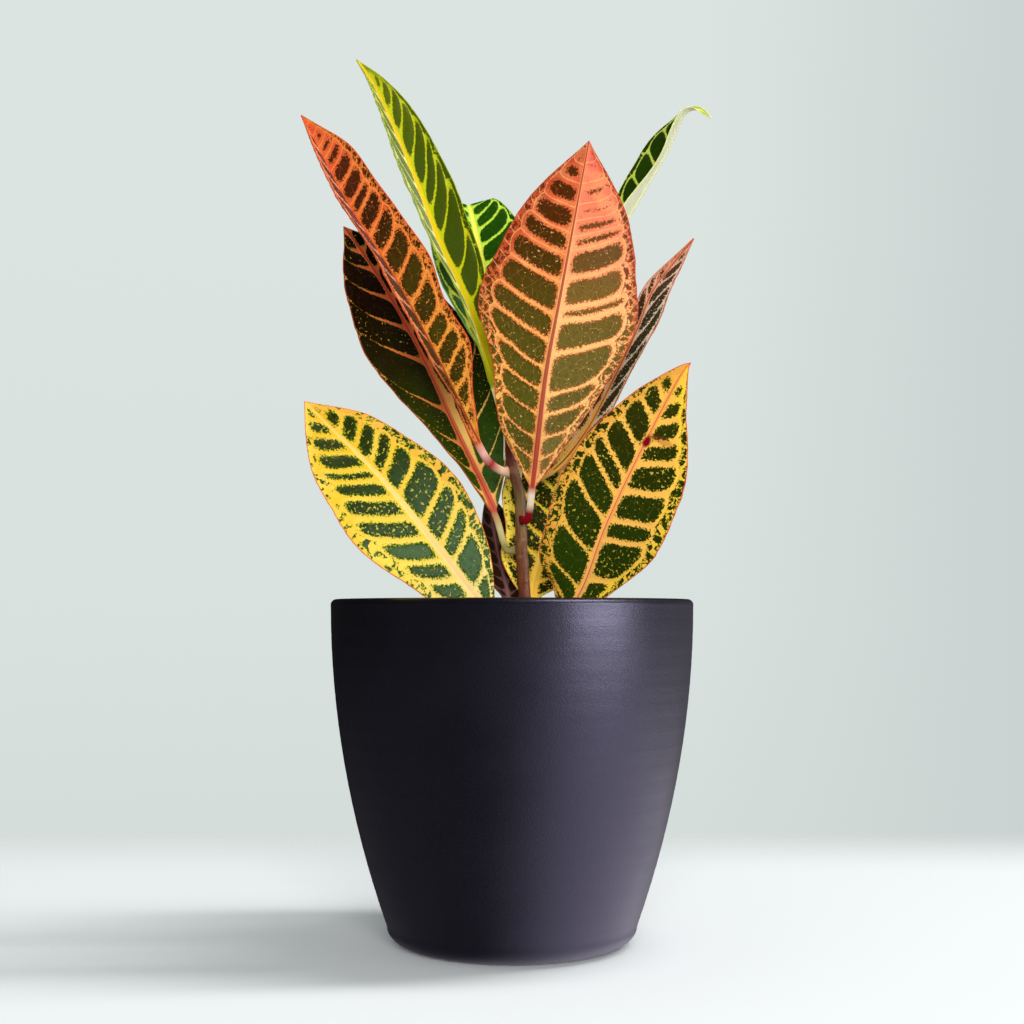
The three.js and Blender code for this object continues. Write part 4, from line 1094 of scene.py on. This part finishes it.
def soil_crumbs(settings, edge, finish):
    """Loose crumbs: one small lumpy ball of 6 by 4 faces, copied to seeded places and sizes on the soil."""
    draw = np.random.default_rng(21)
    number = settings.crumb_count
    distance = (edge - 2.5) * np.sqrt(draw.uniform(0.003, 1, number))
    turn = draw.uniform(0, 2 * np.pi, number)
    x, y = distance * np.cos(turn), distance * np.sin(turn)
    size = draw.uniform(0.5, 1.1, number) * draw.choice([0.7, 1.0, 1.5], number, p=[0.5, 0.38, 0.12])
    sides, levels = 6, 4
    lat = np.linspace(-np.pi / 2, np.pi / 2, levels + 1)[1:-1]
    ball = np.array([(math.cos(a) * math.cos(o), math.cos(a) * math.sin(o), math.sin(a))
                     for a in lat for o in full_turn(sides)] + [(0, 0, -1), (0, 0, 1)])
    shape = ball[None] * draw.uniform(0.75, 1.25, (number, len(ball), 1))
    shape = shape * draw.uniform(0.7, 1.2, (number, 1, 3))
    spin = draw.uniform(0, 2 * np.pi, number)
    c, s = np.cos(spin)[:, None], np.sin(spin)[:, None]
    across, back, up = np.moveaxis(shape, -1, 0)
    turned = np.stack([across * c - back * s, across * s + back * c, up], -1)
    base = np.stack([x, y, settings.soil_level + soil_height(x, y) + size * 0.35], -1)
    points = turned * size[:, None, None] + base[:, None]
    faces, counts = [], []
    for i in range(levels - 2):
        for j in range(sides):
            k = (j + 1) % sides
            faces += [i * sides + j, i * sides + k, (i + 1) * sides + k, (i + 1) * sides + j]
            counts.append(4)
    low, high, top = (levels - 1) * sides, (levels - 1) * sides + 1, (levels - 2) * sides
    for j in range(sides):
        k = (j + 1) % sides
        faces += [low, k, j, high, top + j, top + k]
        counts += [3, 3]
    corners = (np.array(faces)[None] + np.arange(number)[:, None] * len(ball)).ravel()
    piece = mesh_piece("soil_crumbs", points.reshape(-1, 3), corners, np.tile(counts, number), finish)
    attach(piece, BODY)


def stem_piece(settings):
    """The stem: a tube round its line that swells at each leaf's joint, with a crescent scar below it."""
    line = np.array(STEM_LINE, float)
    path = smooth_path(line[:, :3])
    rows, sides = 420, 56
    where = np.linspace(0, path[1][-1], rows)
    centre = read_path(path, where)
    tangent = unit(read_path(path, where + 0.5) - read_path(path, where - 0.5))
    sideways = unit(np.cross((0, 1, 0), tangent))
    backwards = np.cross(tangent, sideways)
    radius = np.interp(centre[:, 2], line[:, 2], line[:, 3])[:, None]
    around = full_turn(sides)[None]
    z = centre[:, 2:3]
    whole = np.ones((rows, sides))
    swell, scar = 0 * whole, 0 * whole
    for height, turn in [leaf["joint"] for leaf in LEAVES.values()] + OLD_SCARS:
        off = np.mod(around - np.radians(turn) + np.pi, 2 * np.pi) - np.pi
        swell += 0.34 * np.exp(-((z - height) / 2.2) ** 2) * np.exp(-(off / 0.9) ** 2)
        crescent = np.abs(np.hypot(off * radius / 1.5, (z - height + 1.6) / 1.2) - 0.9)
        scar += np.exp(-(crescent / 0.16) ** 2) * 0.7
        swell += 0.12 * np.exp(-((z - height + 1.2) / 0.5) ** 2)
    grain = 0.07 * lumps(around * 2.4 * whole, z * 0.35 * whole, 9, 3, 0.5, 20)
    tip = np.clip((path[1][-1] - where) / 1.5, 0, 1)[:, None] ** 0.5
    wide = (radius + swell * (z > JOINTS_FROM) + grain) * np.maximum(tip, 0.12)
    rings = (centre[:, None] + sideways[:, None] * (np.cos(around) * wide)[..., None]
             + backwards[:, None] * (np.sin(around) * wide)[..., None])
    along = np.clip((z - 120) / 84, 0, 1) * whole
    bark = np.stack([along, 0 * whole, np.clip(scar, 0, 0.8) * (z > JOINTS_FROM)], -1)
    top = centre[-1] + tangent[-1] * 0.3
    piece = closed_tube("woody_stem", rings, centre[0], top, young_bark(settings), [("bark", bark)])
    stand_for(piece, "stem")


# Stage

def soft_light(name, place, target, wide, tall, power):
    """A rectangular studio light aimed at a point."""
    light = bpy.data.lights.new(name, "AREA")
    light.shape = "RECTANGLE"
    light.size, light.size_y = wide, tall
    light.energy = power
    lamp = put(name, light)
    lamp.location = place
    lamp.rotation_euler = (Vector(target) - Vector(place)).to_track_quat("-Z", "Y").to_euler()
    return lamp


def studio_air(settings):
    """The backdrop: pale grey-green, a little lighter upwards and darker towards the right. The light that
    it throws is even and dimmer. In reflections it is faintly violet, and bright only low on the right."""
    world = bpy.data.worlds.new("studio_air")
    w = NodeWork(world)
    way = w.node("TexCoord").outputs["Generated"]
    x, _, z = w.parts(way)
    rays = w.node("LightPath").outputs

    def toward(direction):
        """How far a ray points in a direction."""
        return w.node("VectorMath", {0: way, 1: direction}, operation="DOT_PRODUCT").outputs["Value"]

    sheen = w.step(toward((0.9, 0, -0.3)), -0.05, 1.1, 0.16, settings.sheen)
    below = w.step(toward((0, 0.2, 1)), -0.32, 0.06, 1, 0.14, "LINEAR")
    gloss = w.times(sheen, below)
    strength = w.node("Mix", {0: rays["Is Glossy Ray"], 2: settings.fill, 3: gloss}).outputs[0]
    tone = w.mix(rays["Is Glossy Ray"], (0.92, 1, 0.99), (0.98, 0.93, 1.08))
    wall = w.ramp(w.line(z, 0.5, 0.5), [paint(212, 220, 217), shade(settings.backdrop), paint(219, 228, 225)],
                  (0.42, 0.5, 0.62))
    wall = w.mix(w.step(x, 0.12, 0.32, 0, 1, "LINEAR"), wall, paint(201, 210, 208))
    fill = w.node("Background", {"Color": tone, "Strength": strength})
    seen = w.node("Background", {"Color": wall})
    both = w.node("MixShader", {0: rays["Is Camera Ray"], 1: fill.outputs[0], 2: seen.outputs[0]})
    w.node("OutputWorld", {0: both.outputs[0]})
    bpy.context.scene.world = world


def floor_paint(settings):
    """Pale matt floor that fades out towards its edges, so that it melts into the backdrop."""
    p = Paintwork("pale_floor")
    x, y, _ = p.parts(p.node("TexCoord").outputs["Object"])
    solid = p.times(p.step(p.sum("ABSOLUTE", x), 1.5, 1.0), p.step(p.sum("ABSOLUTE", y), 0.31, 0.15))
    tint = shade(settings.floor_colour)
    p.set(Base_Color=tint, Roughness=0.8, Specular_IOR_Level=0.2, Alpha=solid, Emission_Color=tint,
          Emission_Strength=settings.floor_glow)
    return p.material


def make_stage(settings):
    """Floor, lights and the camera at the photograph's viewing angle."""
    half = 1600
    corners = np.array([(-half, -half, 0), (half, -half, 0), (half, half, 0), (-half, half, 0)], float)
    floor = mesh_piece("studio_floor", corners, np.arange(4), np.array([4]), floor_paint(settings))
    floor.visible_glossy = False
    studio_air(settings)
    side = soft_light("side_light", (1.5, 0.12, 2.5), (0, 0, 0.1), 0.35, 3, settings.key)
    front = soft_light("front_light", (0.25, -2.9, 0.8), (0, 0, 0.2), 1.6, 1.2, settings.key * 1.45)
    gleam = soft_light("gleam_light", (0.6, -0.44, 0.2), (0, 0, 0.12), 0.45, 0.25, settings.gleam * 1.15)
    glint = soft_light("rim_light", (0.9, -0.5, 1.5), (0, 0, 0.132), 1.2, 0.6, settings.gleam * 8)
    side.visible_glossy = front.visible_glossy = False
    gleam.visible_diffuse = glint.visible_diffuse = False
    scene = bpy.context.scene
    lens = bpy.data.cameras.new("studio_camera")
    lens.lens = settings.lens
    lens.sensor_width = 36
    camera = put("studio_camera", lens)
    camera.location = (0, -settings.camera_distance, settings.camera_height)
    camera.rotation_euler = (math.pi / 2 + settings.camera_tilt, 0, 0)
    scene.camera = camera
    scene.view_settings.view_transform = "Standard"


# Settings a user would change

def scalar(name, description, default, low=0.0, **more):
    """A property that holds a number, from nought up unless told otherwise."""
    return bpy.props.FloatProperty(name=name, description=description, default=default, min=low, **more)


def fraction(name, description, default):
    """A property that holds a share from 0 to 1."""
    return scalar(name, description, default, max=1.0, subtype="FACTOR")


def swatch(name, description, default):
    """A property that holds a colour."""
    return bpy.props.FloatVectorProperty(name=name, description=description, default=default, subtype="COLOR",
                                         min=0.0, max=1.0)


class CrotonPotSettings(bpy.types.PropertyGroup):
    """Sizes in millimetres and colours of the pot, the soil and the stem."""
    height: scalar("Pot height", "Height of the pot in millimetres", 132.0)
    rim_radius: scalar("Rim radius", "Radius of the pot's rim in millimetres", 70.5)
    taper: scalar("Taper", "How much narrower the pot's curve is at its foot, in millimetres", 25.0)
    wall: scalar("Wall", "Thickness of the pot's wall in millimetres", 5.0)
    base_radius: scalar("Base radius", "Radius of the flat base in millimetres", 37.0)
    lip_round: scalar("Lip round", "Radius of the rounded lip in millimetres", 2.2)
    soil_level: scalar("Soil level", "Height of the soil above the floor in millimetres", 107.0)
    crumb_count: bpy.props.IntProperty(name="Crumbs", description="Number of loose soil crumbs", default=520,
                                       min=0)
    glaze: swatch("Glaze", "Colour of the pot's dark glaze", paint(9, 8, 11))
    glaze_roughness: fraction("Glaze roughness", "How matt the glaze is", 0.36)
    soil_colour: swatch("Soil", "Colour of the potting soil", paint(66, 47, 34))
    bark_colour: swatch("Bark", "Colour of the stem's darker lines", paint(96, 50, 24))


def palette_class(leaf_name):
    """A small group of colours for one leaf, whose defaults are that leaf's own."""
    leaf = LEAVES[leaf_name]
    plain = leaf_name.replace("leaf_", "").replace("_", " ")
    cells = side_of(leaf["dark"], 1)
    entries = {
        "cell": swatch("Cells", f"Second colour of the dark cells, {plain} leaf",
                       paint(*cells[len(cells) // 2])),
        "vein": swatch("Veins", f"Thin vein lines, {plain} leaf", paint(*leaf["vein"])),
        "edge": swatch("Edge", f"Pale ground near the margin, {plain} leaf", paint(*leaf["edge"])),
        "line": swatch("Margin", f"Line along the margin, {plain} leaf", paint(*leaf["line"])),
    }
    return type("CrotonPalette_" + leaf_name, (bpy.types.PropertyGroup,),
                {"__annotations__": entries, "__doc__": f"Colours of the {plain} leaf."})


PALETTES = {leaf_name: palette_class(leaf_name) for leaf_name in LEAVES}


class CrotonLeafSettings(bpy.types.PropertyGroup):
    """Thickness, relief, gloss and colours of the leaves."""
    blade_thickness: scalar("Blade thickness", "Thickness of a leaf blade in millimetres", 0.5)
    quilting: scalar("Quilting", "How far the blade swells between its veins, in millimetres", 0.4)
    row_step: scalar("Row step", "Spacing of the mesh along a leaf in millimetres", 0.7)
    column_step: scalar("Column step", "Spacing of the mesh across a leaf in millimetres", 0.5)
    leaf_gloss: fraction("Gloss", "Weight of the glossy skin of the leaves", 0.02)
    leaf_roughness: fraction("Roughness", "How matt the leaves are under it", 0.45)
    __annotations__.update({
        name: bpy.props.PointerProperty(name=name, description="Colours of this leaf", type=group)
        for name, group in PALETTES.items()})


class CrotonStageSettings(bpy.types.PropertyGroup):
    """Floor, backdrop, lights and camera."""
    floor_colour: swatch("Floor", "Colour of the studio floor", (0.85, 0.868, 0.876))
    backdrop: swatch("Backdrop", "Colour behind the plant", paint(216, 225, 222))
    floor_glow: scalar("Floor glow", "Brightness of the floor in full shadow", 0.02)
    fill: scalar("Fill", "Strength of the even fill light", 0.31)
    sheen: scalar("Sheen", "Brightness that glossy surfaces see on the right", 2.7)
    key: scalar("Key", "Power of the key light", 62.0, unit="POWER")
    gleam: scalar("Gleam", "Power of the light seen only in reflections", 4.0, unit="POWER")
    camera_distance: scalar("Camera distance", "From the pot's axis to the camera", 0.6, unit="LENGTH")
    camera_height: scalar("Camera height", "Above the floor", 0.126, unit="LENGTH")
    camera_tilt: scalar("Camera tilt", "How far it looks up", math.radians(3.84), unit="ROTATION")
    lens: scalar("Lens", "Focal length in millimetres", 53.8, low=1.0)


# Operators

def need(node):
    """Stops with an error if the packed model lacks a solid that the piece stands for."""
    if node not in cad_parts:
        raise RuntimeError(f"the packed model has no {node}")


class CROTON_OT_pot(bpy.types.Operator):
    """Build the glazed pot"""
    bl_idname = "croton.pot"
    bl_label = "Pot"

    def execute(self, context):
        need("pot")
        pot_piece(context.scene.croton_pot)
        return {"FINISHED"}


class CROTON_OT_soil(bpy.types.Operator):
    """Fill the pot with soil and strew crumbs on it"""
    bl_idname = "croton.soil"
    bl_label = "Soil"

    def execute(self, context):
        need("soil")
        soil_piece(context.scene.croton_pot)
        return {"FINISHED"}


class CROTON_OT_stem(bpy.types.Operator):
    """Build the woody stem"""
    bl_idname = "croton.stem"
    bl_label = "Stem"

    def execute(self, context):
        need("stem")
        stem_piece(context.scene.croton_pot)
        return {"FINISHED"}


class LeafGroup:
    """Shared by the operators that build leaves."""
    names = ()

    def execute(self, context):
        for name in self.names:
            need(name)
            leaf_piece(name, context.scene.croton_leaves)
        return {"FINISHED"}


class CROTON_OT_broad_leaves(LeafGroup, bpy.types.Operator):
    """Build the broad leaves"""
    bl_idname = "croton.broad_leaves"
    bl_label = "Broad leaves"
    names = BROAD_LEAVES


class CROTON_OT_narrow_leaves(LeafGroup, bpy.types.Operator):
    """Build the narrow leaves"""
    bl_idname = "croton.narrow_leaves"
    bl_label = "Narrow leaves"
    names = NARROW_LEAVES


class CROTON_OT_young_leaves(LeafGroup, bpy.types.Operator):
    """Build the two young leaves at the stem's tip"""
    bl_idname = "croton.young_leaves"
    bl_label = "Young leaves"
    names = YOUNG_LEAVES


class CROTON_OT_stage(bpy.types.Operator):
    """Set the floor, the lights and the camera"""
    bl_idname = "croton.stage"
    bl_label = "Stage"

    def execute(self, context):
        make_stage(context.scene.croton_stage)
        return {"FINISHED"}


OPERATORS = [CROTON_OT_pot, CROTON_OT_soil, CROTON_OT_stem, CROTON_OT_broad_leaves, CROTON_OT_narrow_leaves,
             CROTON_OT_young_leaves, CROTON_OT_stage]


class CROTON_PT_panel(bpy.types.Panel):
    """Lists the plant's pieces and its settings"""
    bl_idname = "CROTON_PT_panel"
    bl_label = "Potted croton"
    bl_space_type = "VIEW_3D"
    bl_region_type = "UI"
    bl_category = "Croton"

    def draw(self, context):
        for group in (context.scene.croton_pot, context.scene.croton_leaves, context.scene.croton_stage):
            box = self.layout.box()
            for name in group.__annotations__:
                if name not in PALETTES:
                    box.prop(group, name)
        for operator in OPERATORS:
            self.layout.operator(operator.bl_idname)


CLASSES = [*PALETTES.values(), CrotonPotSettings, CrotonLeafSettings, CrotonStageSettings, *OPERATORS,
           CROTON_PT_panel]


def register():
    for made in CLASSES:
        bpy.utils.register_class(made)
    bpy.types.Scene.croton_pot = bpy.props.PointerProperty(type=CrotonPotSettings)
    bpy.types.Scene.croton_leaves = bpy.props.PointerProperty(type=CrotonLeafSettings)
    bpy.types.Scene.croton_stage = bpy.props.PointerProperty(type=CrotonStageSettings)


def unregister():
    del bpy.types.Scene.croton_stage
    del bpy.types.Scene.croton_leaves
    del bpy.types.Scene.croton_pot
    for made in reversed(CLASSES):
        bpy.utils.unregister_class(made)


def main():
    register()
    bpy.ops.croton.pot()
    bpy.ops.croton.soil()
    bpy.ops.croton.stem()
    bpy.ops.croton.broad_leaves()
    bpy.ops.croton.narrow_leaves()
    bpy.ops.croton.young_leaves()
    bpy.ops.croton.stage()


if __name__ == "__main__":
    main()
